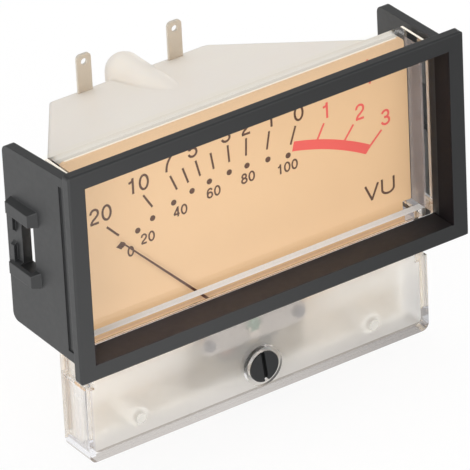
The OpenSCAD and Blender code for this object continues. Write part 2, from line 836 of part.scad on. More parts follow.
module zero_lever() {
    reach = pivot_z - adjuster_z - pin_throw;
    slot_hw = pin_r + slot_clear;
    back = lever_front + lever_t;
    color([0.74, 0.6, 0.36]) at_front() translate([0, 0, pivot_z]) {
        difference() {
            union() {
                bar(lever_ring_r, lever_front, back);
                block([-slot_hw - 0.7, lever_front, -reach - 1.1], [slot_hw + 0.7, back, 0]);
                block([-spring_r - 0.75, lever_front, -0.6], [0, back, 0.6]);
                // Tab that holds the outer end of the front hairspring
                block([-spring_r - 0.75, back - eps, -0.6],
                      [-spring_r - 0.45, front_spring_y + spring_h, 0.6]);
            }
            bar(hub_r + shaft_gap, 0, housing_back);
            block([-slot_hw, 0, -reach - 2], [slot_hw, housing_back, -reach + pin_r + 0.3]);
        }
    }
}

// ---------- fixed parts of the movement ----------

// Pins that stop the pointer at both ends of its travel
module stop_pins(r, y0, y1) {
    offset_angle = asin((pointer_root_w / 2 + stop_r) / stop_radius);
    left = -rest_angle - left_travel - stop_spare - offset_angle;
    right = -rest_angle + full_travel + stop_spare + offset_angle;
    for (a = [left, right]) turned(a) bar(r, y0, y1, 0, stop_radius);
}

module pointer_stops() {
    color([0.3, 0.3, 0.3]) at_front() stop_pins(stop_r, needle_y - 0.4, frame_front);
}

module movement_frame() {
    color([0.55, 0.5, 0.46]) at_front() difference() {
        union() {
            block([-frame_hw, frame_front, 4], [frame_hw, frame_back, pivot_z + 8.6]);
            block([-dial_screw_x - 2.6, frame_front, dial_low - 0.7],
                  [dial_screw_x + 2.6, frame_back, dial_screw_z + 3]);
            // Posts for the front bridge and for the rear bridge
            both_sides() {
                bar(post_r, front_bridge_back, frame_front + eps, front_post_x, pivot_z);
                bar(post_r, frame_back - eps, rear_bridge_y, rear_post_x, pivot_z);
            }
        }
        bar(frame_hole_r, 0, frame_back + 1, 0, pivot_z);
        both_sides() {
            bar(dial_screw_r + bore_gap, 0, housing_back, dial_screw_x, dial_screw_z);
            bar(bridge_screw_r + shaft_gap, 0, frame_front + 0.5, front_post_x, pivot_z);
            bar(bridge_screw_r + shaft_gap, rear_bridge_y - 2.3, housing_back, rear_post_x, pivot_z);
        }
    }
}

module yoke_ring() {
    color([0.5, 0.5, 0.52]) at_front() difference() {
        bar(yoke_r, frame_back, frame_back + yoke_len, 0, pivot_z);
        bar(frame_hole_r, 0, housing_back, 0, pivot_z);
    }
}

module core_magnet() {
    color([0.32, 0.32, 0.34]) at_front()
        bar(core_r, frame_back + core_inset, frame_back + yoke_len - core_inset, 0, pivot_z);
}

// Brass spacers that carry the core, in the two sectors that the coil never enters
module core_spacers() {
    hw = 1.5;
    color([0.75, 0.62, 0.35]) at_front() for (side = [-1, 1]) turned(3) difference() {
        intersection() {
            bar(frame_hole_r, frame_back + 2.5, frame_back + yoke_len - 2.5);
            block([-hw, 0, side > 0 ? 0 : -yoke_r], [hw, housing_back, side > 0 ? yoke_r : 0]);
        }
        bar(core_r, 0, housing_back);
    }
}

module bridge_blank(y, half_len) {
    r = bridge_h / 2;
    translate([0, 0, pivot_z]) slab(y, y + bridge_t) {
        translate([-half_len + r, -r]) square([2 * (half_len - r), bridge_h]);
        for (side = [-1, 1]) translate([side * (half_len - r), 0]) circle(r = r);
    }
}

module front_bridge() {
    color([0.8, 0.78, 0.74]) at_front() difference() {
        union() {
            bridge_blank(bridge_y, front_post_x + bridge_h / 2 - 0.4);
            bar(hub_r, front_bridge_back - eps, lever_front + lever_t + 0.05, 0, pivot_z);
        }
        bar(jewel_shank_r + 0.03, 0, housing_back, 0, pivot_z);
        both_sides() bar(bridge_screw_r + bore_gap, 0, housing_back, front_post_x, pivot_z);
    }
}

module rear_bridge() {
    color([0.8, 0.78, 0.74]) at_front() difference() {
        union() {
            bridge_blank(rear_bridge_y, rear_post_x + bridge_h / 2 + 0.6);
            // Stud that holds the outer end of the rear hairspring
            translate([0, 0, pivot_z]) block([-spring_r - 0.75, rear_spring_y, -0.6],
                                             [-spring_r - 0.45, rear_bridge_y + eps, 0.6]);
        }
        bar(jewel_shank_r + 0.03, 0, housing_back, 0, pivot_z);
        both_sides() bar(bridge_screw_r + bore_gap, 0, housing_back, rear_post_x, pivot_z);
    }
}

module bridge_screws() {
    rear_face = rear_bridge_y + bridge_t;
    color([0.76, 0.72, 0.62]) at_front() both_sides() {
        slotted_screw(bridge_head_r, bridge_head_h, bridge_screw_r, bridge_screw_len,
                      front_post_x, bridge_y, pivot_z, bridge_slot_w);
        translate([0, 2 * rear_face, 0]) mirror([0, 1, 0])
            slotted_screw(bridge_head_r, bridge_head_h, bridge_screw_r, bridge_screw_len,
                          rear_post_x, rear_face, pivot_z, bridge_slot_w);
    }
}

// A jewel screw along -y: slotted head, threaded shank and the cup that holds a pivot's tip
module jewel_screw(head_y, cup_y) {
    cup_d = 0.3;
    translate([0, 0, pivot_z]) difference() {
        union() {
            bar(jewel_head_r, head_y, head_y + head_t);
            bar(jewel_shank_r, head_y + head_t - eps, cup_y);
        }
        block([-jewel_head_r, head_y - 1, -0.2], [jewel_head_r, head_y + 0.25, 0.2]);
        translate([0, cup_y - cup_d, 0]) rotate([-90, 0, 0]) cylinder(r1 = 0.05, r2 = 0.5, h = cup_d + eps);
    }
}

module front_jewel_screw() {
    color([0.3, 0.5, 0.34]) at_front() jewel_screw(bridge_y - head_t, front_pivot_tip + 0.2);
}

module rear_jewel_screw() {
    rear_head = rear_bridge_y + bridge_t + head_t;
    color([0.3, 0.5, 0.34]) at_front() translate([0, rear_head, 0]) mirror([0, 1, 0])
        jewel_screw(0, rear_head - rear_pivot_tip + 0.2);
}

// ---------- moving coil and pointer, drawn at rest ----------

// A rectangular loop round the core: half_w across, from y0 to y1, t thick, w wide
module coil_loop(half_w, y0, y1, t, w) {
    turned(-rest_angle) difference() {
        block([-half_w, y0, -w / 2], [half_w, y1, w / 2]);
        block([-half_w + t, y0 + t, -w], [half_w - t, y1 - t, w]);
    }
}

module coil_former() {
    color([0.82, 0.82, 0.84]) at_front()
        coil_loop(former_outer, coil_front + coil_depth, coil_back - coil_depth, former_t, coil_w + 0.4);
}

module coil_winding() {
    color([0.7, 0.35, 0.18]) at_front()
        coil_loop(winding_outer, coil_front, coil_back, coil_depth, coil_w);
}

module pivot_bases() {
    color([0.75, 0.62, 0.35]) at_front() {
        bar(2, cross_back, coil_front, 0, pivot_z);
        bar(2, coil_back, rear_base_back, 0, pivot_z);
    }
}

// A pivot ground to a point at its free end
module pivots() {
    point = 0.5;
    color([0.75, 0.75, 0.78]) at_front() translate([0, 0, pivot_z]) {
        translate([0, front_pivot_tip, 0]) rotate([-90, 0, 0]) cylinder(r1 = 0.04, r2 = pivot_r, h = point);
        bar(pivot_r, front_pivot_tip + point, cross_front);
        bar(pivot_r, rear_base_back, rear_pivot_tip - point);
        translate([0, rear_pivot_tip - point, 0]) rotate([-90, 0, 0])
            cylinder(r1 = pivot_r, r2 = 0.04, h = point);
    }
}

module spring_collets() {
    r = collet_r;
    color([0.8, 0.65, 0.35]) at_front() translate([0, 0, pivot_z]) difference() {
        union() {
            bar(r, front_spring_y, cross_front);
            bar(r, rear_base_back, rear_spring_y + spring_h);
        }
        bar(pivot_r, 0, housing_back);
    }
}

// A flat spiral from the collet outwards
module hairspring(y) {
    r0 = collet_r + 0.03;
    steps = 20 * spring_turns;
    function turn_r(i) = r0 + (spring_r - r0) * i / steps;
    function at(i, r) = [r * sin(360 * spring_turns * i / steps), r * cos(360 * spring_turns * i / steps)];
    turned(-90 - 360 * spring_turns) slab(y, y + spring_h) polygon(concat(
        [for (i = [0:steps]) at(i, turn_r(i))],
        [for (i = [steps:-1:0]) at(i, turn_r(i) + spring_t)]
    ));
}

module front_hairspring() {
    color([0.8, 0.6, 0.35]) at_front() hairspring(front_spring_y);
}

module rear_hairspring() {
    color([0.8, 0.6, 0.35]) at_front() hairspring(rear_spring_y);
}

// The needle: a flat root on the cross, a crank forward over the dial, then a slender blade
module pointer() {
    w0 = pointer_root_w / 2;
    w1 = pointer_tip_w / 2;
    root = cross_front - pointer_t;
    color([0.12, 0.11, 0.11]) at_front() turned(-rest_angle) intersection() {
        side_slab(-w0, w0) polygon([
            [root, 0.9], [cross_front, 0.9], [cross_front, crank_r0],
            [needle_y + pointer_t, crank_r1], [needle_y + pointer_t, pointer_len],
            [needle_y, pointer_len], [needle_y, crank_r1 - 0.1], [root, crank_r0 - 0.1]
        ]);
        slab(needle_y - 1, cross_front + 1) polygon([
            [-w0, 0], [w0, 0], [w0, crank_r1], [w1, pointer_len - 1], [0.04, pointer_len],
            [-0.04, pointer_len], [-w1, pointer_len - 1], [-w0, crank_r1]
        ]);
    }
}

// Cross that carries the pointer and the three balance arms
module balance_cross() {
    arm = 0.35;
    color([0.8, 0.8, 0.8]) at_front() turned(-rest_angle) {
        bar(1.3, cross_front, cross_back);
        block([-arm, cross_front, -tail_len], [arm, cross_back, crank_r0 - 0.6]);
        block([-tail_len, cross_front, -arm], [tail_len, cross_back, arm]);
    }
}

module weight(r, z0, z1, bore, mid) {
    difference() {
        translate([0, mid, z0]) cylinder(r = r, h = z1 - z0);
        block([-bore, cross_front - 0.01, 0], [bore, cross_back + 0.01, z1 + 1]);
    }
}

// Small weights slid onto the three arms; the one on the tail, opposite the needle, is the heavy one
module balance_weights() {
    bore = 0.36;
    mid = (cross_front + cross_back) / 2;
    color([0.72, 0.58, 0.3]) at_front() turned(-rest_angle) {
        for (side = [-1, 1]) rotate([0, side * 90, 0]) weight(0.5, 3, 4, bore, mid);
        rotate([0, 180, 0]) weight(0.62, 2.4, 4.5, bore, mid);
    }
}

// ---------- rectifier board and leads ----------

module rectifier_board() {
    color([0.55, 0.4, 0.2]) at_front() difference() {
        block([-board_w / 2, board_front, board_z0], [board_w / 2, board_front + board_t, board_z1]);
        both_sides() bar(board_screw_r + 2 * bore_gap, 0, housing_back, board_screw_x, board_z);
    }
}

module board_screws() {
    color([0.76, 0.72, 0.62]) at_front() both_sides()
        slotted_screw(board_screw_head_r, board_screw_head_h, board_screw_r, board_screw_len,
                      board_screw_x, board_front, board_z);
}

// A small axial part lying flat on the board: body, two leads and their feet
module axial_part(x, z, body_r, body_len, span) {
    y = board_front - body_r - part_lift;
    foot = part_foot;
    translate([x, y, z]) {
        rotate([0, 90, 0]) cylinder(r = body_r, h = body_len, center = true);
        for (side = [-1, 1]) {
            block([min(side * body_len / 2, side * span / 2), -foot, -foot],
                  [max(side * body_len / 2, side * span / 2), foot, foot]);
            block([side * span / 2 - foot, -foot, -foot],
                  [side * span / 2 + foot, body_r + part_lift, foot]);
        }
    }
}

module rectifier_diodes() {
    color([0.75, 0.4, 0.25]) at_front() for (row = [0:3])
        axial_part(diode_x, diode_z1 - diode_pitch * row, diode_r, diode_len, diode_span);
}

module series_resistor() {
    color([0.6, 0.75, 0.8]) at_front()
        axial_part(resistor_x, resistor_z, resistor_r, resistor_len, resistor_span);
}

// Lead from a tag's lower end, round the board's edge, to the board's front face
module tag_lead(side) {
    z_tag = tag_top - tag_len + 1.6;
    x1 = side * (board_w / 2 - 1.2);
    color(side < 0 ? "firebrick" : "dimgray") at_front() wire([
        [side * tag_x, tag_y0, z_tag],
        [side * tag_x, tag_y0 - 1.5, z_tag],
        [side * (tag_x + 2.4), board_front + board_t, board_z1 + 1.5],
        [side * (board_w / 2 + 1.3), board_front - 2.4, board_z1 - 1.5],
        [x1, board_front - 2.2, board_z1 - 1.6],
        [x1, board_front, board_z1 - 1.6]
    ], lead_r);
}

module tag_lead_left() {
    tag_lead(-1);
}

module tag_lead_right() {
    tag_lead(1);
}

// Lead from the rear bridge to the lower edge of the board
module coil_lead(side) {
    x0 = side * (rear_post_x + 1.7);
    y0 = rear_bridge_y + bridge_t;
    x1 = side * (board_w / 2 - 1.4);
    z1 = board_z0 + 1.2;
    color(side < 0 ? "firebrick" : "dimgray") at_front() wire([
        [x0, y0, pivot_z],
        [x0, y0 + 2, pivot_z],
        [x0 + side, y0 + 6, pivot_z + 3],
        [x1 + side, board_front - 4, z1 - 4],
        [x1, board_front - 1.6, z1],
        [x1, board_front, z1]
    ], lead_r);
}

module coil_lead_left() {
    coil_lead(-1);
}

module coil_lead_right() {
    coil_lead(1);
}

bezel();
front_cover();
rear_housing();
dial_plate();
dial_screws();
terminal_left();
terminal_right();
zero_adjuster();
adjuster_clip();
zero_lever();
movement_frame();
yoke_ring();
core_magnet();
core_spacers();
front_bridge();
rear_bridge();
bridge_screws();
front_jewel_screw();
rear_jewel_screw();
pointer_stops();
coil_former();
coil_winding();
pivot_bases();
pivots();
spring_collets();
front_hairspring();
rear_hairspring();
pointer();
balance_cross();
balance_weights();
rectifier_board();
board_screws();
rectifier_diodes();
series_resistor();
tag_lead_left();
tag_lead_right();
coil_lead_left();
coil_lead_right();
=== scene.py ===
"""Dressed model of a flush-mounting moving-coil VU panel meter.

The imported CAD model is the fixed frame. This script gives every CAD node a finish made of shader nodes,
adds what is printed, soldered and frosted, and sets up a plain studio with the camera of the photograph.

Lengths in the classes below are millimetres counted as in the CAD source: x from the middle, y from the
bezel's front face towards the rear, z from the underside. ``Place`` turns them into the frame's metres.
Colours are display colours from 0 to 255. ``tone`` turns them into what a shader socket takes.
"""

from __future__ import annotations

import json
import logging
import math
from dataclasses import dataclass, field
from enum import Enum
from functools import cached_property, reduce
from typing import Dict, Iterable, List, Optional, Sequence, Tuple

import bmesh
import bpy
import numpy as np
from mathutils import Matrix, Vector

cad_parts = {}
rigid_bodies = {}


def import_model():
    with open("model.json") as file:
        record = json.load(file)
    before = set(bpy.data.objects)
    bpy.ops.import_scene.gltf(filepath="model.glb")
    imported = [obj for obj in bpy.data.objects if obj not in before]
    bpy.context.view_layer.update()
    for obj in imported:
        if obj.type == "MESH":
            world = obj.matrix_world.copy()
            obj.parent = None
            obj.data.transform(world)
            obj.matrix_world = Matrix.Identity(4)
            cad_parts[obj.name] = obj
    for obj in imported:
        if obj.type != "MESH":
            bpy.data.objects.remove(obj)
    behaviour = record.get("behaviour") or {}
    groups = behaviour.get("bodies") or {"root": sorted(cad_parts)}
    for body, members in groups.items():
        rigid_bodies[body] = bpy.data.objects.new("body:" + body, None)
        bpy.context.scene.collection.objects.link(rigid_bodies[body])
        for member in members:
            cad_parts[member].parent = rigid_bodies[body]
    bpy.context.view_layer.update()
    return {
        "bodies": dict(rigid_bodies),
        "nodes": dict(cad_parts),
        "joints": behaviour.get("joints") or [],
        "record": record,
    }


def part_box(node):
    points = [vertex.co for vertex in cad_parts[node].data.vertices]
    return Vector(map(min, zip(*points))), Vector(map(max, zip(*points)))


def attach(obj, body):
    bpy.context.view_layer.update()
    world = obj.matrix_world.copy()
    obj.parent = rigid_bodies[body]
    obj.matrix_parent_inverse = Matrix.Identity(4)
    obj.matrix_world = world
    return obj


LOG = logging.getLogger("meter")

MM = 0.001
PER_METRE = 1000.0
BODY = "meter_body"
SIDES = (-1.0, 1.0)
FULL_TURN = 2.0 * math.pi
WHITE = (255.0, 255.0, 255.0)

Vec3 = Tuple[float, float, float]
Pair = Tuple[float, float]
Colour = Tuple[float, ...]
Points = np.ndarray
Socket = bpy.types.NodeSocket
Node = bpy.types.Node
Inputs = Dict[object, object]


# --------------------------------------------------------------------------------------------------
# Colours, places and mesh helpers
# --------------------------------------------------------------------------------------------------


def tone(colour: Vec3, factor: float = 1.0) -> Colour:
    """Turns a display colour into the linear colour that a shader socket takes.

    Each channel runs through the standard display curve: a straight foot below 0.04045 and a power of
    2.4 above it.

    Args:
        colour: Red, green and blue from 0 to 255.
        factor: What they are multiplied by first.

    Returns:
        Linear red, green and blue with an alpha of 1.
    """
    value = np.array(colour, dtype=float) * factor / 255.0
    linear = np.where(value <= 0.04045, value / 12.92, ((value + 0.055) / 1.055) ** 2.4)
    return (*linear.tolist(), 1.0)


def scaled(colour: Colour, factor: float, lift: float = 0.0) -> Colour:
    """Multiplies a linear colour, adds a lift and keeps the result at 1 at most."""
    return (*(min(1.0, c * factor + lift) for c in colour[:3]), 1.0)


def moved(ends: Pair, start: float) -> Pair:
    """Moves both ends of a stretch by the same start."""
    return (start + ends[0], start + ends[1])


@dataclass(frozen=True)
class Place:
    """Turns millimetres counted from the bezel's front face into the frame's metres, and back.

    Attributes:
        front_y: The frame's y of the bezel's front face, in metres.
    """

    front_y: float

    def points(self, mm: Points) -> Points:
        """Moves points with x, y and z in their last axis into the frame."""
        return np.asarray(mm, dtype=float) * MM + np.array([0.0, self.front_y, 0.0])

    def depth(self, y: float) -> float:
        """Tells how many millimetres one of the frame's y lies behind the bezel's front face."""
        return (y - self.front_y) / MM


@dataclass
class MeshSoup:
    """Vertices and faces gathered from several parts, in millimetres.

    Attributes:
        verts: Blocks of vertices.
        faces: Faces as tuples of indices into all the vertices.
        count: Number of vertices so far.
    """

    verts: List[Points] = field(default_factory=list)
    faces: List[Tuple[int, ...]] = field(default_factory=list)
    count: int = 0

    # Share of a blob's profile that runs out straight; the rest swells as a sine
    STRAIGHT = 0.35
    # Distance below which a path's two ends are one point
    SAME = 1e-6
    # Least cosine that a stroke's corner is drawn out by, so that a sharp one stays short
    SHARPEST = 0.5

    def add(self, verts: Points, faces: Iterable[Sequence[int]]) -> None:
        """Adds one part.

        Args:
            verts: Array of shape (n, 3).
            faces: Faces that index into verts.
        """
        self.faces.extend(tuple(int(i) + self.count for i in face) for face in faces)
        self.verts.append(np.asarray(verts, dtype=float))
        self.count += len(verts)

    def shift(self, step: Vec3) -> None:
        """Moves everything gathered so far by a step in x, y and z."""
        self.verts = [block + np.array(step) for block in self.verts]

    @staticmethod
    def layers(flat: Points, y_front: float, y_back: float) -> Points:
        """Gives points of x and z twice over: all at y_front, then all at y_back."""
        return np.vstack([np.insert(flat, 1, y, axis=1) for y in (y_front, y_back)])

    def prism(self, outline: Points, y_front: float, y_back: float) -> None:
        """Adds a closed flat prism whose outline lies across y.

        The outline is a closed ring of points, put anticlockwise by the sign of its area. The front
        and back faces are that ring at y_front and y_back, and one quad joins each pair of neighbours.

        Args:
            outline: Array of shape (n, 2) with x and z.
            y_front: y of the face towards the viewer.
            y_back: y of the face away from the viewer.
        """
        outline = np.asarray(outline, dtype=float)
        x, z = outline.T
        if np.sum(x * np.roll(z, -1) - np.roll(x, -1) * z) < 0:
            outline = outline[::-1]
        n = len(outline)
        ring = np.arange(n)
        nxt = (ring + 1) % n
        sides = np.column_stack([ring, ring + n, nxt + n, nxt])
        self.add(self.layers(outline, y_front, y_back), [ring, ring[::-1] + n, *sides])

    def box(self, x: Pair, y: Pair, z: Pair) -> None:
        """Adds a plain box between the two ends of each axis."""
        self.prism(np.array([[x[0], z[0]], [x[1], z[0]], [x[1], z[1]], [x[0], z[1]]]), *y)

    def boxes(self, x: Pair, y: Pair, z: Pair) -> None:
        """Adds a plain box and its mirror image on the other side of the middle."""
        for side in SIDES:
            self.box(tuple(sorted((side * x[0], side * x[1]))), y, z)

    def ribbon(self, line: Points, width: float, y_front: float, y_back: float) -> None:
        """Adds a flat stroke of even width along a path across y.

        Each point of the path is moved half a width to either side, square to the path's mean
        direction there; the two sides and the ends close the outline. A path that ends where it
        starts becomes a closed ring.

        Args:
            line: Array of shape (n, 2) with x and z.
            width: Width of the stroke.
            y_front: y of the face towards the viewer.
            y_back: y of the face away from the viewer.
        """
        closed = bool(np.hypot(*(line[0] - line[-1])) < self.SAME)
        step = np.diff(line, axis=0)
        step = step / np.linalg.norm(step, axis=1)[:, None]
        before = np.vstack([step[-1:] if closed else step[:1], step])
        after = np.vstack([step, step[:1] if closed else step[-1:]])
        mean = before + after
        mean = mean / np.linalg.norm(mean, axis=1)[:, None]
        reach = 1.0 / np.maximum(np.sum(mean * after, axis=1), self.SHARPEST)
        side = np.column_stack([-mean[:, 1], mean[:, 0]]) * (reach * width / 2.0)[:, None]
        n = len(line)
        i = np.arange(n - 1)
        j, depth = i + 1, 2 * n
        faces: List[Sequence[int]] = [
            *zip(i, j, j + n, i + n),
            *zip(i + depth, i + n + depth, j + n + depth, j + depth),
            *zip(i, i + depth, j + depth, j),
            *zip(i + n, j + n, j + n + depth, i + n + depth),
        ]
        if not closed:
            faces += [(0, n, n + depth, depth), (n - 1, n - 1 + depth, 2 * n - 1 + depth, 2 * n - 1)]
        self.add(self.layers(np.vstack([line + side, line - side]), y_front, y_back), faces)

    def disc(self, centre: Pair, radius: float, y_front: float, y_back: float, sides: int = 28) -> None:
        """Adds a round prism across y, its outline sampled by even angles.

        Args:
            centre: x and z of the centre.
            radius: Radius of the disc.
            y_front: y of the face towards the viewer.
            y_back: y of the face away from the viewer.
            sides: Number of sides.
        """
        angle = np.linspace(0.0, FULL_TURN, sides, endpoint=False)
        ring = radius * np.column_stack([np.cos(angle), np.sin(angle)])
        self.prism(ring + np.array(centre), y_front, y_back)

    def dome(
        self, centre: Vec3, radius: float, height: float, facing: float, sides: int = 24, rings: int = 8
    ) -> None:
        """Adds a blob like a solder joint, flat on its seat and rounded towards y times facing.

        With w the way out from 0 to 1, the radius is a straight part of w and a part of the sine of a
        quarter turn times w, and the height is the cosine of that. The profile is turned about y.

        Args:
            centre: Centre of the seat.
            radius: Radius at the seat.
            height: Height of the crown.
            facing: -1 when the crown points at the viewer, 1 when it points to the rear.
            sides: Points round each ring.
            rings: Rings from the crown to the seat.
        """
        way = ((np.arange(rings) + 1.0) / rings)[:, None]
        angle = np.linspace(0.0, FULL_TURN, sides, endpoint=False)
        r = radius * (self.STRAIGHT * way + (1.0 - self.STRAIGHT) * np.sin(way * FULL_TURN / 4.0))
        h = height * np.cos(way * FULL_TURN / 4.0)
        sheet = np.broadcast_arrays(r * np.cos(angle), facing * h, r * np.sin(angle))
        grid = np.stack(sheet, axis=-1).reshape(-1, 3)
        verts = np.vstack([[[0.0, facing * height, 0.0]], grid]) + np.array(centre)
        k = np.arange(sides)
        n = (k + 1) % sides
        faces: List[Sequence[int]] = [(0, 1 + a, 1 + b) for a, b in zip(k, n)]
        for a in range(1, 1 + (rings - 1) * sides, sides):
            faces.extend(zip(a + k, a + sides + k, a + sides + n, a + n))
        faces.append((1 + (rings - 1) * sides + k)[::-1])
        turn = 1 if facing < 0 else -1
        self.add(verts, [tuple(f)[::turn] for f in faces])

    def build(self, name: str, place: Place, smooth: bool = False) -> bpy.types.Object:
        """Makes the Blender object of everything gathered, with its normals outward.

        Args:
            name: Name of the object.
            place: Turns millimetres into the frame.
            smooth: True for smooth shading.

        Returns:
            The new object, linked to the scene.
        """
        mesh = bpy.data.meshes.new(name)
        mesh.from_pydata(place.points(np.vstack(self.verts)).tolist(), [], self.faces)
        mesh.validate()
        work = bmesh.new()
        work.from_mesh(mesh)
        bmesh.ops.recalc_face_normals(work, faces=work.faces)
        work.to_mesh(mesh)
        work.free()
        mesh.polygons.foreach_set("use_smooth", np.full(len(mesh.polygons), smooth))
        mesh.update()
        return linked(name, mesh)


def linked(name: str, data: bpy.types.ID) -> bpy.types.Object:
    """Makes an object of a mesh, a lamp or a camera and links it to the scene.

    Args:
        name: Name of the object.
        data: What it shows.

    Returns:
        The new object.
    """
    made = bpy.data.objects.new(name, data)
    bpy.context.scene.collection.objects.link(made)
    return made


# --------------------------------------------------------------------------------------------------
# Shader building
# --------------------------------------------------------------------------------------------------


class Tree:
    """A node tree with short calls to add and join nodes.

    An input of these calls is a plain value or the socket that is joined to it.
    """

    def __init__(self, tree: bpy.types.NodeTree) -> None:
        """Takes over an empty node tree."""
        self.tree = tree

    def add(self, kind: str, inputs: Optional[Inputs] = None, **settings: object) -> Node:
        """Adds a node.

        Args:
            kind: The node's type.
            inputs: Values or sockets by the input's name or number.
            settings: Attributes of the node.

        Returns:
            The new node.
        """
        node = self.tree.nodes.new(kind)
        for key, value in settings.items():
            setattr(node, key, value)
        for key, value in (inputs or {}).items():
            if isinstance(value, Socket):
                self.tree.links.new(value, node.inputs[key])
            else:
                node.inputs[key].default_value = value
        return node

    def math(self, operation: str, a: object, b: object = 0.0, clamp: bool = False) -> Socket:
        """Adds a math node, clamped between 0 and 1 where that is asked for."""
        return self.add("ShaderNodeMath", {0: a, 1: b}, operation=operation, use_clamp=clamp).outputs[0]

    def times(self, *values: object) -> Socket:
        """Multiplies values or masks."""
        return reduce(lambda a, b: self.math("MULTIPLY", a, b), values)

    def most(self, *values: object) -> Socket:
        """Gives the greatest of some values."""
        return reduce(lambda a, b: self.math("MAXIMUM", a, b), values)

    def dot(self, a: object, b: object) -> Socket:
        """Gives the scalar product of two vectors."""
        return self.add("ShaderNodeVectorMath", {0: a, 1: b}, operation="DOT_PRODUCT").outputs["Value"]

    def mix(self, share: object, a: object, b: object) -> Socket:
        """Mixes colour a with a share of colour b."""
        return self.add("ShaderNodeMix", {0: share, 6: a, 7: b}, data_type="RGBA").outputs[2]

    def scaled_by(self, vector: object, scale: Vec3) -> Socket:
        """Multiplies coordinates by a number along each axis."""
        return self.add("ShaderNodeMapping", {0: vector, 3: scale}).outputs[0]

    @cached_property
    def where(self) -> Socket:
        """Object coordinates in millimetres."""
        return self.scaled_by(self.add("ShaderNodeTexCoord").outputs["Object"], (PER_METRE,) * 3)

    @cached_property
    def axes(self) -> List[Socket]:
        """x, y and z of the object coordinates in millimetres."""
        return list(self.add("ShaderNodeSeparateXYZ", {0: self.where}).outputs)

    def noise(
        self, scale: object, detail: float = 3.0, rough: float = 0.5, vector: Optional[Socket] = None
    ) -> Socket:
        """Adds a noise value from 0 to 1.

        Args:
            scale: Number of features per unit.
            detail: Octaves.
            rough: Weight of the higher octaves.
            vector: Coordinates in place of millimetres.

        Returns:
            The value's socket.
        """
        inputs = {"Vector": vector or self.where, "Scale": scale, "Detail": detail, "Roughness": rough}
        return self.add("ShaderNodeTexNoise", inputs).outputs[0]

    def ramp(
        self, value: Socket, start: float, end: float, low: float = 0.0, high: float = 1.0
    ) -> Socket:
        """Maps start..end onto low..high, level beyond both ends."""
        return self.add("ShaderNodeMapRange", {0: value, 1: start, 2: end, 3: low, 4: high}).outputs[0]

    def stretch(self, value: Socket, low: float, high: float) -> Socket:
        """Maps 0..1 onto low..high."""
        return self.ramp(value, 0.0, 1.0, low, high)

    def within(self, value: Socket, low: float, high: float) -> Socket:
        """Gives 1 where a value lies between two limits, and 0 elsewhere."""
        return self.times(self.math("GREATER_THAN", value, low), self.math("LESS_THAN", value, high))


class SharedEffects:
    """Node groups that several finishes share."""

    BEVEL_SAMPLES = 6
    RELIEF_STEP = 0.04 * MM
    # Cosine of the turn of a rounded edge's normal at which the painted edge highlight is full
    HIGHLIGHT_COSINE = 0.82

    def __init__(self) -> None:
        """Builds the groups once."""
        self.relief = self.relief_group()
        # This group gives the mask of a painted highlight on rounded edges
        self.edge = self.edge_highlight_group()

    @staticmethod
    def start(
        name: str, inputs: Sequence[str], output: str, kind: str
    ) -> Tuple[Tree, Sequence[Socket], Socket]:
        """Makes an empty group with its sockets.

        Args:
            name: Name of the group.
            inputs: Names of its number inputs.
            output: Name of its output.
            kind: Socket type of the output.

        Returns:
            Its tree, the sockets that the inputs bring in, and the socket that takes the result.
        """
        group = bpy.data.node_groups.new(name, "ShaderNodeTree")
        for label in inputs:
            group.interface.new_socket(name=label, in_out="INPUT", socket_type="NodeSocketFloat")
        group.interface.new_socket(name=output, in_out="OUTPUT", socket_type=kind)
        tree = Tree(group)
        return tree, tree.add("NodeGroupInput").outputs, tree.add("NodeGroupOutput").inputs[output]

    def bevel(self, tree: Tree, radius: Socket) -> Socket:
        """Gives the normal with the edges rounded by a radius."""
        return tree.add("ShaderNodeBevel", {"Radius": radius}, samples=self.BEVEL_SAMPLES).outputs[0]

    def relief_group(self) -> bpy.types.NodeTree:
        """Fine relief of a moulded or worked surface, on edges that are rounded a little.

        Returns:
            A group from features per millimetre, depth and edge radius in metres to a normal.
        """
        inputs = ("Scale", "Depth", "Edge")
        tree, enter, leave = self.start("moulded_relief", inputs, "Normal", "NodeSocketVector")
        bump = tree.add(
            "ShaderNodeBump",
            {
                "Strength": enter["Depth"],
                "Distance": self.RELIEF_STEP,
                "Height": tree.noise(enter["Scale"], detail=4.0),
                "Normal": self.bevel(tree, enter["Edge"]),
            },
        )
        tree.tree.links.new(bump.outputs[0], leave)
        return tree.tree

    def edge_highlight_group(self) -> bpy.types.NodeTree:
        """Mask of the outer edges for a painted highlight: how far the rounded normal leans off.

        Returns:
            A group from edge radius in metres to a mask.
        """
        tree, enter, leave = self.start("painted_edge_highlight", ("Radius",), "Mask", "NodeSocketFloat")
        flat = tree.add("ShaderNodeNewGeometry").outputs["True Normal"]
        round_ = self.bevel(tree, enter["Radius"])
        cosine = tree.dot(round_, flat)
        tree.tree.links.new(tree.ramp(cosine, 1.0, self.HIGHLIGHT_COSINE), leave)
        return tree.tree


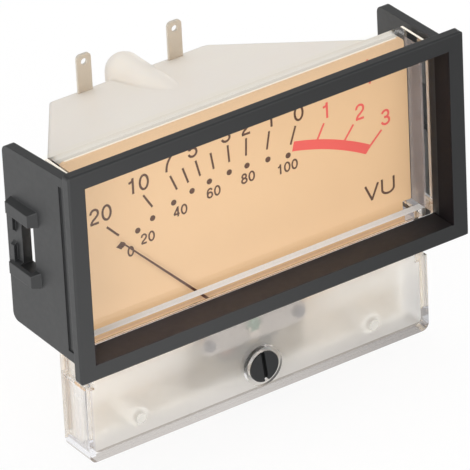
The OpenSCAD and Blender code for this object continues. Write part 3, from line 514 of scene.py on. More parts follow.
class Graph(Tree):
    """The node tree of a material or of the world."""

    # Noise of the clouds of tone and of the gloss: features per millimetre and octaves
    CLOUDS = (0.16, 4.0)
    GLOSS = (0.9, 5.0)
    GLOSS_SWING = 0.07
    # Tone of a painted edge highlight: how many times the base, and what is added
    EDGE_HIGHLIGHT_TONE = (2.6, 0.02)

    def __init__(self, owner: bpy.types.ID, effects: Optional[SharedEffects] = None) -> None:
        """Starts it empty.

        Args:
            owner: The new material or world.
            effects: The shared node groups.
        """
        owner.use_nodes = True
        super().__init__(owner.node_tree)
        self.tree.nodes.clear()
        self.owner, self.effects = owner, effects
        kind = "World" if isinstance(owner, bpy.types.World) else "Material"
        self.output = self.add(f"ShaderNodeOutput{kind}")

    def normal(self, scale: float, depth: float, edge: float) -> Socket:
        """Puts the relief group in; scale is per millimetre and edge is a radius in millimetres."""
        inputs = {"Scale": scale, "Depth": depth, "Edge": edge * MM}
        return self.add("ShaderNodeGroup", inputs, node_tree=self.effects.relief).outputs[0]

    def clouded(self, base: Colour, spread: float) -> Socket:
        """Lets a linear colour wander by a share of itself over a few millimetres."""
        ends = (scaled(base, 1.0 - spread), scaled(base, 1.0 + spread))
        return self.mix(self.noise(*self.CLOUDS), *ends)

    def edge_highlighted(self, colour: Socket, base: Colour, radius: float, share: float) -> Socket:
        """Lightens a colour with a painted highlight on the rounded edges.

        Args:
            colour: The colour so far.
            base: The linear colour that the highlight's tone is made from.
            radius: Width of the highlighted edge in millimetres.
            share: Share of the highlight's tone.

        Returns:
            The new colour.
        """
        mask = self.add("ShaderNodeGroup", {"Radius": radius * MM}, node_tree=self.effects.edge)
        return self.mix(self.times(mask.outputs[0], share), colour, scaled(base, *self.EDGE_HIGHLIGHT_TONE))

    def moulded(self, roughness: float) -> Socket:
        """Lets a roughness wander a little either way."""
        ends = (roughness - self.GLOSS_SWING, roughness + self.GLOSS_SWING)
        return self.stretch(self.noise(*self.GLOSS), *ends)

    def principled(self, inputs: Inputs) -> Node:
        """Adds the main shader."""
        return self.add("ShaderNodeBsdfPrincipled", inputs)

    def clear(self, colour: Vec3 = WHITE) -> Node:
        """Adds a shader that lets light straight through in a display colour."""
        return self.add("ShaderNodeBsdfTransparent", {0: tone(colour)})

    def rays(self, *kinds: str) -> Socket:
        """Gives 1 for rays of the kinds that are named."""
        path = self.add("ShaderNodeLightPath").outputs
        return self.most(*(path[f"Is {kind} Ray"] for kind in kinds))

    def soft_rays(self) -> Socket:
        """Gives 1 for shadow and diffuse rays, so that lamps shine through a clear piece."""
        return self.rays("Shadow", "Diffuse")

    def show(self, shader: Node) -> None:
        """Joins a shader to the output."""
        self.tree.links.new(shader.outputs[0], self.output.inputs[0])

    def paint(self, inputs: Inputs) -> None:
        """Adds the main shader and joins it to the output."""
        self.show(self.principled(inputs))

    def blend(self, share: Socket, first: Node, second: Node) -> Node:
        """Mixes two shaders and joins the result to the output.

        Args:
            share: Share of the second one.
            first: The first shader.
            second: The second shader.

        Returns:
            The mixed shader.
        """
        both = self.add("ShaderNodeMixShader", {0: share, 1: first.outputs[0], 2: second.outputs[0]})
        self.show(both)
        return both


# --------------------------------------------------------------------------------------------------
# Finishes
# --------------------------------------------------------------------------------------------------


@dataclass(frozen=True)
class Finish:
    """What every finish shares.

    Attributes:
        name: Name of the material.
        colour: Display colour, of its plainest part where a finish has several.
    """

    name: str
    colour: Vec3

    def build(self, effects: SharedEffects) -> bpy.types.Material:
        """Makes the material.

        Args:
            effects: The shared node groups.

        Returns:
            The material.
        """
        graph = Graph(bpy.data.materials.new(self.name), effects)
        self.fill(graph)
        return graph.owner

    def fill(self, graph: Graph) -> None:
        """Adds the finish's own nodes to its material; every finish has its own way."""
        raise NotImplementedError


@dataclass(frozen=True)
class Skin:
    """How gloss and fine relief run over a finish.

    Attributes:
        noise: Features of the gloss per millimetre, and octaves.
        gloss: Least and greatest roughness.
        relief: Features of the relief per millimetre, its strength and the edges' radius in millimetres.
    """

    noise: Pair
    gloss: Pair
    relief: Vec3

    def inputs(self, graph: Graph) -> Inputs:
        """Gives the main shader's roughness and normal."""
        rough = graph.stretch(graph.noise(*self.noise), *self.gloss)
        return {"Roughness": rough, "Normal": graph.normal(*self.relief)}


@dataclass(frozen=True)
class Opaque(Finish):
    """A moulded, painted or lacquered surface.

    Attributes:
        spread: How much the colour wanders, as a share.
        roughness: Mean roughness.
        grain: Features of the fine relief per millimetre.
        depth: Strength of the fine relief.
        edge: Radius of the rounded edges in millimetres.
        edge_highlight: Share of a painted highlight on the rounded edges, from 0 to 1.
        coat: Weight of a clear lacquer.
        specular: Specular level.
        painted_emission: Strength of a painted light that the surface gives off in its own colour, though
            it is no lamp.
    """

    spread: float = 0.06
    roughness: float = 0.4
    grain: float = 9.0
    depth: float = 0.12
    edge: float = 0.15
    edge_highlight: float = 0.0
    coat: float = 0.0
    specular: float = 0.5
    painted_emission: float = 0.0

    # Width of the painted edge highlight in radii of the rounding, and roughness of the lacquer
    EDGE_HIGHLIGHT_WIDTH = 1.6
    COAT_ROUGHNESS = 0.08

    def fill(self, graph: Graph) -> None:
        """Adds the nodes.

        Args:
            graph: The material.
        """
        base = tone(self.colour)
        colour = graph.clouded(base, self.spread)
        # Painted highlight: the rounded edges are lightened
        if self.edge_highlight > 0.0:
            colour = graph.edge_highlighted(colour, base, self.edge * self.EDGE_HIGHLIGHT_WIDTH, self.edge_highlight)
        inputs: Inputs = {
            "Base Color": colour,
            "Roughness": graph.moulded(self.roughness),
            "Normal": graph.normal(self.grain, self.depth, self.edge),
            "Specular IOR Level": self.specular,
        }
        if self.coat > 0.0:
            inputs.update({"Coat Weight": self.coat, "Coat Roughness": self.COAT_ROUGHNESS})
        # Painted light: the surface gives off its own colour
        if self.painted_emission > 0.0:
            inputs.update({"Emission Color": colour, "Emission Strength": self.painted_emission})
        graph.paint(inputs)


@dataclass(frozen=True)
class FrameMoulding(Finish):
    """The bezel's black plastic: satin outside, matt and darker on the faces of its opening, where
    painted shade darkens it further towards the right.

    Attributes:
        inner: Display colour inside the opening, at its left end; painted shade darkens the right.
        roughness: Mean roughness outside.
        matt: Roughness inside the opening, whose upright faces also mirror less.
        specular: Specular level.
        opening: Half width, lowest z and highest z of the opening in millimetres.
        shade_span: x between which painted shade takes the inner colour down to a half.
        cheek: Depth of the band along the opening's sides that counts as upright.
        dull: Share of a plain matt tone on the upright faces.
        spread: How much the outer colour wanders, as a share.
        painted_edge_shine: Width in millimetres and share of the painted highlight on the outer edges.
        relief: Features of the relief per millimetre, its strength and the edges' radius.
    """

    inner: Vec3
    roughness: float
    matt: float
    specular: float
    opening: Vec3
    shade_span: Pair = (-20.0, 36.0)
    cheek: float = 0.4
    dull: float = 0.65
    spread: float = 0.1
    painted_edge_shine: Pair = (0.35, 0.2)
    relief: Vec3 = (10.0, 0.16, 0.22)

    def fill(self, graph: Graph) -> None:
        """Adds the nodes.

        Args:
            graph: The material.
        """
        x, _, z = graph.axes
        half, low, high = self.opening
        away = graph.math("ABSOLUTE", x)
        inside = graph.times(graph.math("LESS_THAN", away, half), graph.within(z, low, high))
        # Painted shade: the opening's tone falls to a half from left to right
        dark = graph.mix(graph.ramp(x, *self.shade_span), tone(self.inner), tone(self.inner, 0.5))
        base = tone(self.colour)
        # Painted highlight on the outer edges
        outside = graph.edge_highlighted(graph.clouded(base, self.spread), base, *self.painted_edge_shine)
        extra = graph.times(inside, self.matt - self.roughness)
        shader = graph.principled(
            {
                "Base Color": graph.mix(inside, outside, dark),
                "Roughness": graph.math("ADD", graph.moulded(self.roughness), extra),
                "Normal": graph.normal(*self.relief),
                "Specular IOR Level": self.specular,
            }
        )
        cheek = graph.math("GREATER_THAN", away, half - self.cheek)
        share = graph.times(cheek, inside, self.dull)
        graph.blend(share, shader, graph.add("ShaderNodeBsdfDiffuse", {0: dark}))


@dataclass(frozen=True)
class Milky(Finish):
    """Milky plastic whose walls let much of the light into the space behind them.

    Attributes:
        thin: Display colour where less pigment flowed.
        through: Share of the light that passes a wall.
        flow: Scale of the pigment's streaks along x, y and z.
        reach: How far light goes into the plastic, in millimetres.
        passing: Display colour of the light that passes a wall.
        skin: Its gloss and relief.
    """

    thin: Vec3
    through: float
    flow: Vec3 = (0.05, 0.12, 0.03)
    reach: float = 2.0
    passing: Vec3 = (252, 248, 242)
    skin: Skin = Skin((0.8, 4.0), (0.34, 0.46), (4.0, 0.06, 1.0))

    def fill(self, graph: Graph) -> None:
        """Adds the nodes.

        Args:
            graph: The material.
        """
        flow = graph.noise(1.0, vector=graph.scaled_by(graph.where, self.flow))
        shader = graph.principled(
            {
                "Base Color": graph.mix(flow, tone(self.colour), tone(self.thin)),
                "Specular IOR Level": 0.35,
                "Subsurface Weight": 0.25,
                "Subsurface Scale": self.reach * MM,
                "Subsurface Radius": (1.0, 0.9, 0.75),
                **self.skin.inputs(graph),
            }
        )
        share = graph.times(graph.soft_rays(), self.through)
        graph.blend(share, shader, graph.clear(self.passing))


@dataclass(frozen=True)
class Metal(Finish):
    """A bare, plated or rolled metal surface.

    Attributes:
        roughness: Mean roughness.
        tarnish: Share of a darker, duller tone.
        brush: Stretch of the marks along x, y and z; a small number makes long marks.
        depth: Strength of the fine relief.
        edge: Radius of the rounded edges in millimetres.
        metallic: Share of clean metal; the rest is a dull grey skin.
    """

    roughness: float
    tarnish: float
    brush: Vec3 = (1.0, 1.0, 1.0)
    depth: float = 0.15
    edge: float = 0.06
    metallic: float = 1.0

    # Noise of the marks: features per millimetre, octaves and weight of the higher octaves
    MARKS = (7.0, 5.0, 0.6)
    # Features of the stains and of the fine relief per millimetre
    STAINS = 0.5
    RELIEF = 12.0
    # How much darker full tarnish is, and how far the roughness swings
    DARKER = 0.55
    SWING = (-0.08, 0.12)

    def fill(self, graph: Graph) -> None:
        """Adds the nodes.

        Args:
            graph: The material.
        """
        streak = graph.noise(*self.MARKS, graph.scaled_by(graph.where, self.brush))
        base = tone(self.colour)
        share = graph.times(graph.noise(self.STAINS), streak)
        inputs: Inputs = {
            "Base Color": graph.mix(share, base, scaled(base, 1.0 - self.DARKER * self.tarnish)),
            "Metallic": self.metallic,
            "Roughness": graph.stretch(streak, *(self.roughness + swing for swing in self.SWING)),
            "Normal": graph.normal(self.RELIEF, self.depth, self.edge),
        }
        graph.paint(inputs)


@dataclass(frozen=True)
class ShadedEdge:
    """A stretch of a clear moulding tinted with painted shade, where the sight line runs long in the
    plastic.

    Attributes:
        x: Least and greatest distance from the middle in millimetres.
        z: Lowest and highest z.
        colour: Display colour of the painted shade that the plastic takes there.
    """

    x: Pair
    z: Pair
    colour: Vec3


@dataclass(frozen=True)
class ClearMoulding(Finish):
    """Clear plastic, polished outside and frosted on the skirt's inner face.

    Where the top wall's rear rim beds on the housing there is no air between the two, so nothing
    bends or mirrors the light there.

    Attributes:
        frosted: Roughness of the frosted face.
        skirt_inner: y of the frosted face in the frame, in millimetres.
        skirt_top: z up to which the face is frosted, in millimetres.
        bedded_y: y behind which the top wall's rim is bedded.
        bedded_z: z above which that holds.
        edges: The stretches that are tinted with painted shade.
        near: How close to skirt_inner counts as that face.
    """

    frosted: float
    skirt_inner: float
    skirt_top: float
    bedded_y: float
    bedded_z: float
    edges: Tuple[ShadedEdge, ...]
    near: float = 0.05

    # Noise of the flow marks and of the waves in the surface: features per millimetre and octaves
    FLOW = (0.12, 2.0)
    WAVES = (0.35, 2.0)
    WAVE_STRENGTH = 0.05
    # Display colour and roughness of the flow marks
    FLOW_COLOUR = (253, 252, 251)
    FLOW_ROUGHNESS = 0.035

    def fill(self, graph: Graph) -> None:
        """Adds the nodes; lamps shine through the piece instead of casting its shadow.

        Args:
            graph: The material.
        """
        x, y, z = graph.axes
        face = graph.within(y, self.skirt_inner - self.near, self.skirt_inner + self.near)
        mask = graph.times(face, graph.math("LESS_THAN", z, self.skirt_top))
        flow = graph.noise(*self.FLOW)
        frost = graph.times(mask, self.frosted)
        colour = graph.mix(flow, tone(self.colour), tone(self.FLOW_COLOUR))
        away = graph.math("ABSOLUTE", x)
        # Painted shade on the thick edges
        for edge in self.edges:
            share = graph.times(graph.within(away, *edge.x), graph.within(z, *edge.z))
            colour = graph.mix(share, colour, tone(edge.colour))
        wave = {
            "Strength": self.WAVE_STRENGTH,
            "Distance": SharedEffects.RELIEF_STEP,
            "Height": graph.noise(*self.WAVES),
        }
        shader = graph.principled(
            {
                "Base Color": colour,
                "Roughness": graph.math("ADD", graph.stretch(flow, 0.0, self.FLOW_ROUGHNESS), frost),
                "IOR": 1.49,
                "Specular IOR Level": 0.25,
                "Transmission Weight": 1.0,
                "Normal": graph.add("ShaderNodeBump", wave).outputs[0],
            }
        )
        rear = graph.math("GREATER_THAN", y, self.bedded_y)
        bedded = graph.times(rear, graph.math("GREATER_THAN", z, self.bedded_z))
        graph.blend(graph.most(graph.soft_rays(), bedded), shader, graph.clear(self.colour))


@dataclass(frozen=True)
class Frosting(Finish):
    """The haze of a frosted face: white where it scatters light back, see-through for the rest.

    Attributes:
        share: Share of the light that it scatters back.
        rise: How much more it scatters near the skirt's top, away from the middle.
        rise_z: z between which that begins and is full.
        rise_x: Distance from the middle between which that begins and is full.
        cloud: Features of its clouds per millimetre, and octaves.
        swing: How much the share wanders either way.
        darker: Tone of its darker clouds, as a share of its colour.
        skin: Its gloss and relief.
    """

    share: float
    rise: float = 0.0
    rise_z: Pair = (10.5, 14.5)
    rise_x: Pair = (11.0, 19.0)
    cloud: Pair = (0.35, 4.0)
    swing: float = 0.04
    darker: float = 0.985
    skin: Skin = Skin((2.0, 3.0), (0.55, 0.75), (6.0, 0.05, 0.01))

    def fill(self, graph: Graph) -> None:
        """Adds the nodes; the haze casts no shadow of its own.

        Args:
            graph: The material.
        """
        x, _, z = graph.axes
        cloud = graph.noise(*self.cloud)
        aside = graph.ramp(graph.math("ABSOLUTE", x), *self.rise_x)
        corner = graph.times(graph.ramp(z, *self.rise_z), aside)
        alpha = graph.stretch(cloud, self.share - self.swing, self.share + self.swing)
        shader = graph.principled(
            {
                "Base Color": graph.mix(cloud, tone(self.colour), tone(self.colour, self.darker)),
                "Specular IOR Level": 0.1,
                "Alpha": graph.math("ADD", alpha, graph.times(corner, self.rise)),
                **self.skin.inputs(graph),
            }
        )
        graph.blend(graph.soft_rays(), shader, graph.clear())


@dataclass(frozen=True)
class Wound(Finish):
    """Enamelled wire wound in close turns.

    Attributes:
        lean: Angle of the coil's axis from upright about y, in degrees.
        pitch: Distance from turn to turn in millimetres.
    """

    lean: float
    pitch: float

    # How the turns wander: features per millimetre and octaves, and by how many millimetres
    WANDER = (1.2, 2.0)
    WANDER_BY = 0.25
    # Depth of the grooves between the turns, and the painted shade in them as a share of the wire's tone
    GROOVE = 0.05 * MM
    GROOVE_SHADE = 0.35
    # Features of the gloss per millimetre, its least and greatest roughness, and the share of metal
    SHEEN = 3.0
    ROUGHNESS = (0.28, 0.45)
    METALLIC = 0.6

    def fill(self, graph: Graph) -> None:
        """Adds the nodes: the turns are a sine of the way along the coil's axis.

        Args:
            graph: The material.
        """
        lean = math.radians(self.lean)
        axis = (math.sin(lean), 0.0, math.cos(lean))
        wander = graph.times(graph.noise(*self.WANDER), self.WANDER_BY)
        place = graph.math("ADD", graph.dot(graph.where, axis), wander)
        turn = graph.math("SINE", graph.times(place, FULL_TURN / self.pitch))
        height = graph.stretch(turn, 0.0, 1.0)
        base = tone(self.colour)
        bump = {"Strength": 0.7, "Distance": self.GROOVE, "Height": height}
        # Painted shade: the grooves between the turns are darker
        inputs: Inputs = {
            "Base Color": graph.mix(height, scaled(base, self.GROOVE_SHADE), base),
            "Metallic": self.METALLIC,
            "Roughness": graph.stretch(graph.noise(self.SHEEN), *self.ROUGHNESS),
            "Normal": graph.add("ShaderNodeBump", bump).outputs[0],
        }
        graph.paint(inputs)


@dataclass(frozen=True)
class Banded(Finish):
    """A lacquered axial part with colour bands and bare wire ends.

    Attributes:
        middle: x of the body's middle in millimetres.
        half: Half of the body's length in millimetres.
        bands: Offset, half width and display colour of each band.
        wire: Display colour of the wires.
        gap: How far past the body's end the wires' colour begins.
        darker: Tone of the lacquer's darker spots, as a share of its colour.
        skin: Its gloss and relief.
    """

    middle: float
    half: float
    bands: Tuple[Tuple[float, float, Vec3], ...]
    wire: Vec3 = (205, 202, 196)
    gap: float = 0.01
    darker: float = 0.88
    skin: Skin = Skin((2.0, 3.0), (0.2, 0.34), (6.0, 0.1, 0.12))

    # Features of the lacquer's spots per millimetre
    SPOTS = 1.5

    def fill(self, graph: Graph) -> None:
        """Adds the nodes.

        Args:
            graph: The material.
        """
        offset = graph.math("SUBTRACT", graph.axes[0], self.middle)
        colour = graph.mix(graph.noise(self.SPOTS), tone(self.colour), tone(self.colour, self.darker))
        for place, half, shade in self.bands:
            colour = graph.mix(graph.within(offset, place - half, place + half), colour, tone(shade))
        bare = graph.math("GREATER_THAN", graph.math("ABSOLUTE", offset), self.half + self.gap)
        inputs: Inputs = {
            "Base Color": graph.mix(bare, colour, tone(self.wire)),
            "Metallic": bare,
            **self.skin.inputs(graph),
        }
        graph.paint(inputs)


@dataclass(frozen=True)
class Amber(Finish):
    """The back-lit dial sheet: amber, even, with a fine mottle and a faint fall of tone; the back light
    is painted, as light that the sheet gives off.

    Attributes:
        warm: Display colour that it reflects towards the right.
        painted_emission: Display colour of the painted light that the sheet gives off, standing in for
            light from the housing.
        crown: Display colour of that painted light along the upper edge, where it is brighter.
        half: Half width over which the tone falls, in millimetres.
        crown_z: z between which the brighter painted light of the upper edge begins and is full.
        mottle: How much the tone wanders either way, as a share.
        skin: Its gloss and relief.
    """

    warm: Vec3
    painted_emission: Vec3
    crown: Vec3
    half: float = 36.0
    crown_z: Pair = (55.5, 57.5)
    mottle: float = 0.08
    skin: Skin = Skin((1.4, 3.0), (0.5, 0.62), (3.0, 0.01, 0.1))

    # Features of the mottle per millimetre, and the tone of the painted light at its darker spots, as a
    # share
    MOTTLE = 0.6
    DARKER = 0.98

    def fill(self, graph: Graph) -> None:
        """Adds the nodes.

        Args:
            graph: The material.
        """
        x, _, z = graph.axes
        mottle = graph.stretch(graph.noise(self.MOTTLE), -self.mottle, self.mottle)
        share = graph.math("ADD", graph.ramp(x, -self.half, self.half), mottle, clamp=True)
        # Painted light: amber emission that stands in for light from behind the sheet
        lit = graph.mix(mottle, tone(self.painted_emission), tone(self.painted_emission, self.DARKER))
        inputs: Inputs = {
            "Base Color": graph.mix(share, tone(self.colour), tone(self.warm)),
            "Specular IOR Level": 0.25,
            "Emission Color": graph.mix(graph.ramp(z, *self.crown_z), lit, tone(self.crown)),
            "Emission Strength": 1.0,
            **self.skin.inputs(graph),
        }
        graph.paint(inputs)


class FinishLibrary:
    """All finishes by the record's material slot or the name of an added finish, built once."""

    # Fields of Opaque that the films share: spread, roughness, grain, depth and edge
    FILM = (0.02, 0.5, 4.0, 0.1, 0.01)
    LEAD = (5.0, 0.1, 0.05)
    DIODE_BANDS = ((-1.15, 0.28, (28, 26, 26)),)
    RESISTOR_BANDS = (
        (-2.2, 0.25, (120, 72, 38)),
        (-1.3, 0.25, (40, 38, 38)),
        (-0.4, 0.25, (200, 60, 42)),
        (1.9, 0.25, (196, 160, 70)),
    )
    # Painted shade on the clear moulding's thick edges
    EDGE_SHADES = (
        ShadedEdge((0.0, 40.0), (-1.0, 1.8), (166, 158, 152)),
        ShadedEdge((36.75, 40.0), (1.32, 24.9), (232, 232, 238)),
        ShadedEdge((0.0, 37.7), (24.9, 26.42), (238, 235, 240)),
        ShadedEdge((38.9, 40.0), (27.0, 60.5), (186, 176, 172)),
    )

    def __init__(self, place: Place) -> None:
        """Builds every finish.

        Args:
            place: Turns millimetres into the frame.
        """
        front = place.front_y / MM
        finishes = (
            # Its opening carries painted shade and its outer edges a painted highlight
            FrameMoulding(
                "black_moulding",
                (31, 32, 33),
                inner=(42, 34, 38),
                roughness=0.42,
                matt=0.55,
                specular=0.66,
                opening=(39.7, 24.78, 61.22),
            ),
            ClearMoulding(
                "clear_moulding",
                (255, 255, 254),
                frosted=0.42,
                skirt_inner=front + 8.0,
                skirt_top=24.7,
                bedded_y=front + 13.6,
                bedded_z=58.0,
                edges=self.EDGE_SHADES,
            ),
            Milky("milky_moulding", (231, 223, 215), thin=(232, 227, 217), through=0.88),
            Frosting("peg_haze", (244, 240, 232), 0.45),
            Frosting("skirt_haze", (246, 242, 237), 0.14, 0.25),
            Frosting("side_haze", (206, 200, 206), 0.17),
            # Painted highlight: a near white film that also gives off a little light of its own
            Opaque("painted_highlight", (255, 246, 232), *self.FILM, specular=0.2, painted_emission=0.13),
            Opaque("frosted_step", (240, 246, 255), *self.FILM, specular=0.2),
            Opaque("ink_dark", (92, 56, 34), 0.07, 0.6, 7.0, 0.1, 0.01, specular=0.15),
            Opaque("ink_red", (234, 92, 84), 0.04, 0.55, 7.0, 0.1, 0.01, specular=0.15),
            Opaque("needle_black", (92, 56, 40), 0.1, 0.55, 6.0, 0.1, 0.03, specular=0.2),
            # Painted highlight on the rounded edges, a fifth of the lighter tone
            Opaque("black_nylon", (30, 31, 32), 0.08, 0.38, 7.0, 0.1, 0.14, edge_highlight=0.2, specular=0.33),
            Opaque("green_lacquer", (44, 96, 66), 0.12, 0.22, 4.0, 0.1, 0.1, coat=0.6),
            Opaque("black_pin", (38, 37, 37), 0.1, 0.4),
            Opaque("board_laminate", (150, 112, 60), 0.16, 0.42, 3.0, 0.3, 0.1),
            Opaque("lead_red", (182, 44, 40), 0.08, 0.38, *self.LEAD),
            Opaque("lead_grey", (92, 93, 96), 0.08, 0.4, *self.LEAD),
            # Painted light: the sheet gives off amber light, brighter along its upper edge
            Amber(
                "amber_sheet",
                (199, 167, 132),
                warm=(195, 161, 125),
                painted_emission=(142, 115, 83),
                crown=(166, 139, 109),
            ),
            Wound("copper_wire", (188, 104, 60), lean=-44.1, pitch=0.16),
            Banded("diode_body", (190, 92, 56), -2.0, 1.7, self.DIODE_BANDS),
            Banded("resistor_body", (170, 200, 214), -1.0, 3.1, self.RESISTOR_BANDS),
            Metal("tag_plating", (220, 212, 198), 0.38, 0.3, (6.0, 1.0, 0.25), 0.2, 0.1, 0.45),
            Metal("sheet_brass", (200, 168, 112), 0.3, 0.35, (0.2, 1.0, 4.0)),
            Metal("bridge_alloy", (186, 176, 170), 0.4, 0.3, (0.2, 1.0, 5.0)),
            Metal("former_foil", (214, 215, 218), 0.22, 0.15, (4.0, 1.0, 1.0)),
            Metal("soft_iron", (132, 133, 136), 0.4, 0.4, (1.0, 4.0, 1.0), 0.25),
            Metal("frame_zinc", (152, 137, 116), 0.45, 0.4, depth=0.3),
            Metal("magnet_alloy", (96, 97, 100), 0.5, 0.5, depth=0.45),
            Metal("pivot_steel", (210, 210, 214), 0.12, 0.1, depth=0.05),
            Metal("solder", (200, 200, 202), 0.22, 0.25, depth=0.1, edge=0.02),
            Metal("screw_brass", (196, 158, 104), 0.32, 0.5),
            Metal("spring_steel", (176, 178, 182), 0.25, 0.2),
            Metal("blued_screws", (112, 104, 112), 0.4, 0.3),
            Metal("jewel_setting", (226, 212, 200), 0.3, 0.2),
            Metal("spring_bronze", (196, 150, 92), 0.25, 0.2),
            Metal("cross_alloy", (208, 208, 210), 0.3, 0.2),
        )
        effects = SharedEffects()
        self.materials = {finish.name: finish.build(effects) for finish in finishes}

    def dress(self, thing: bpy.types.Object, finish: str) -> None:
        """Puts a finish on all of an object's slots.

        Args:
            thing: The object.
            finish: Name of the finish.
        """
        if not thing.data.materials:
            thing.data.materials.append(self.materials[finish])
        for held in thing.material_slots:
            held.material = self.materials[finish]


# --------------------------------------------------------------------------------------------------
# Sub-assemblies
# --------------------------------------------------------------------------------------------------


@dataclass
class Assembly:
    """What every sub-assembly shares.

    Attributes:
        place: Turns millimetres into the frame.
        finishes: The finish library.
    """

    place: Place
    finishes: FinishLibrary

    def keep(self, soup: MeshSoup, name: str, finish: str, slot: str, smooth: bool = False) -> None:
        """Builds a piece, dresses it and lets it ride on the meter's body.

        Args:
            soup: Its mesh.
            name: Its name.
            finish: Name of its finish.
            slot: The record's slot that it belongs to; not used.
            smooth: True for smooth shading.
        """
        thing = soup.build(name, self.place, smooth)
        self.finishes.dress(thing, finish)
        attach(thing, BODY)
        LOG.info("%s: %d faces on %s", name, len(thing.data.polygons), BODY)


@dataclass
class CadNodes(Assembly):
    """The CAD nodes that show as they are, each with its finish."""

    # Finish of each node that differs from the rest of its slot
    OWN = {"bridge_screws": "blued_screws", "front_jewel_screw": "jewel_setting"}

    def build(self, frame: Dict[str, object]) -> None:
        """Dresses every node with the finish of its slot.
        """
        slots = {part["node"]: part["material_slot"] for part in frame["record"]["subparts"]}
        for name, thing in frame["nodes"].items():
            finish = self.OWN.get(name, slots[name])
            self.finishes.dress(thing, finish)
            LOG.info("%s: CAD node in %s", name, finish)


class Ink(Enum):
    """The two inks of the scale."""

    DARK = "ink_dark"
    RED = "ink_red"


@dataclass(frozen=True)
class Mark:
    """One mark of the volume-unit scale or one dot of the percent scale.

    Attributes:
        angle: Angle from upright at the pivot, clockwise, in degrees.
        label: Its number, or nothing.
        label_at: x and z of the number's centre in millimetres.
        ink: The ink it is printed in.
    """

    angle: float
    label: str = ""
    label_at: Pair = (0.0, 0.0)
    ink: Ink = Ink.DARK


@dataclass(frozen=True)
class Lettering:
    """A size of characters.

    Attributes:
        height: Height of the characters in millimetres.
        weight: Width of their strokes in millimetres.
    """

    height: float
    weight: float


class PlainCharacters:
    """Centre lines of plain grotesque characters, drawn in a box one unit high.

    Bowls are ellipses sampled by angle, stems are straight, and sweeps are smooth curves through a few
    points. A character whose strokes meet is split into strokes, each without a sharp turn.
    """

    PITCH = 0.8
    MIDDLE = 0.35
    WIDE = 1.24
    LOW, HIGH = 0.06, 0.94
    DEGREES_A_STEP = 9.0
    SWEEP_STEPS = 8

    @classmethod
    def bowl(cls, cx: float, cy: float, rx: float, ry: float, start: float, end: float) -> Points:
        """Samples part of an ellipse.

        Args:
            cx: Centre.
            cy: Centre.
            rx: Half width.
            ry: Half height.
            start: First angle in degrees, anticlockwise from the right.
            end: Last angle in degrees.

        Returns:
            Array of shape (n, 2).
        """
        steps = max(cls.SWEEP_STEPS, int(abs(end - start) / cls.DEGREES_A_STEP))
        angle = np.radians(np.linspace(start, end, steps))
        return np.column_stack([cx + rx * np.cos(angle), cy + ry * np.sin(angle)])

    @classmethod
    def sweep(cls, *knots: Pair) -> Points:
        """Samples a smooth curve through points, each piece a cubic with the neighbours' mean slopes.

        Args:
            *knots: The points.

        Returns:
            Array of shape (n, 2).
        """
        p = cls.line(*knots)
        p = np.vstack([2 * p[0] - p[1], p, 2 * p[-1] - p[-2]])
        t = np.linspace(0.0, 1.0, cls.SWEEP_STEPS, endpoint=False)[:, None]
        parts = [
            0.5
            * (
                2 * b
                + (c - a) * t
                + (2 * a - 5 * b + 4 * c - d) * t**2
                + (3 * b - a - 3 * c + d) * t**3
            )
            for a, b, c, d in zip(p[:-3], p[1:-2], p[2:-1], p[3:])
        ]
        return np.vstack(parts + [p[-2][None, :]])

    @staticmethod
    def line(*points: Pair) -> Points:
        """Joins points by straight lines."""
        return np.array(points, dtype=float)

    @classmethod
    def strokes(cls, letter: str) -> List[Points]:
        """Gives the strokes of a character.

        Args:
            letter: A digit from 0 to 8, V or U.

        Returns:
            Centre lines in units of the height.
        """
        low, high, line, bowl, sweep = cls.LOW, cls.HIGH, cls.line, cls.bowl, cls.sweep
        hook = sweep((0.43, 0.53), (0.31, 0.4), (0.16, 0.25), (0.085, low))
        waist = line((0.2, 0.515))
        shapes: Dict[str, List[Points]] = {
            "0": [bowl(0.28, 0.5, 0.215, 0.44, 90, 450)],
            "1": [
                line((0.34, 0.0), (0.34, 1.0)),
                sweep((0.12, 0.74), (0.24, 0.77), (0.31, 0.84), (0.335, 0.95)),
            ],
            "2": [
                np.vstack([bowl(0.28, 0.7, 0.195, 0.24, 185, -20), hook]),
                line((0.05, low), (0.495, low)),
            ],
            "3": [
                np.vstack([bowl(0.27, 0.725, 0.175, 0.215, 170, -90), waist]),
                np.vstack([waist, bowl(0.27, 0.288, 0.205, 0.228, 90, -170)]),
            ],
            "4": [
                line((0.4, 0.0), (0.4, 1.0)),
                line((0.395, 0.93), (0.06, 0.28)),
                line((0.035, 0.27), (0.53, 0.27)),
            ],
            "5": [
                line((0.11, high), (0.46, high)),
                line((0.14, 0.97), (0.095, 0.47)),
                np.vstack([line((0.095, 0.49)), bowl(0.27, 0.32, 0.215, 0.26, 128, -165)]),
            ],
            "6": [
                bowl(0.285, 0.32, 0.2, 0.26, 90, 450),
                sweep(
                    (0.465, 0.77), (0.4, 0.9), (0.29, high), (0.15, 0.84), (0.085, 0.6), (0.085, 0.34)
                ),
            ],
            "7": [
                line((0.045, high), (0.515, high)),
                sweep((0.5, 0.93), (0.34, 0.68), (0.23, 0.38), (0.19, 0.0)),
            ],
            "8": [bowl(0.28, 0.735, 0.17, 0.205, 90, 450), bowl(0.28, 0.29, 0.21, 0.23, 90, 450)],
            "V": [line((-0.07, 1.0), (0.285, 0.03)), line((0.265, 0.03), (0.62, 1.0))],
            "U": [
                np.vstack(
                    [line((-0.035, 1.0)), bowl(0.28, 0.35, 0.315, 0.29, 180, 360), line((0.595, 1.0))]
                )
            ],
        }
        return [shape * np.array([cls.WIDE, 1.0]) for shape in shapes[letter]]


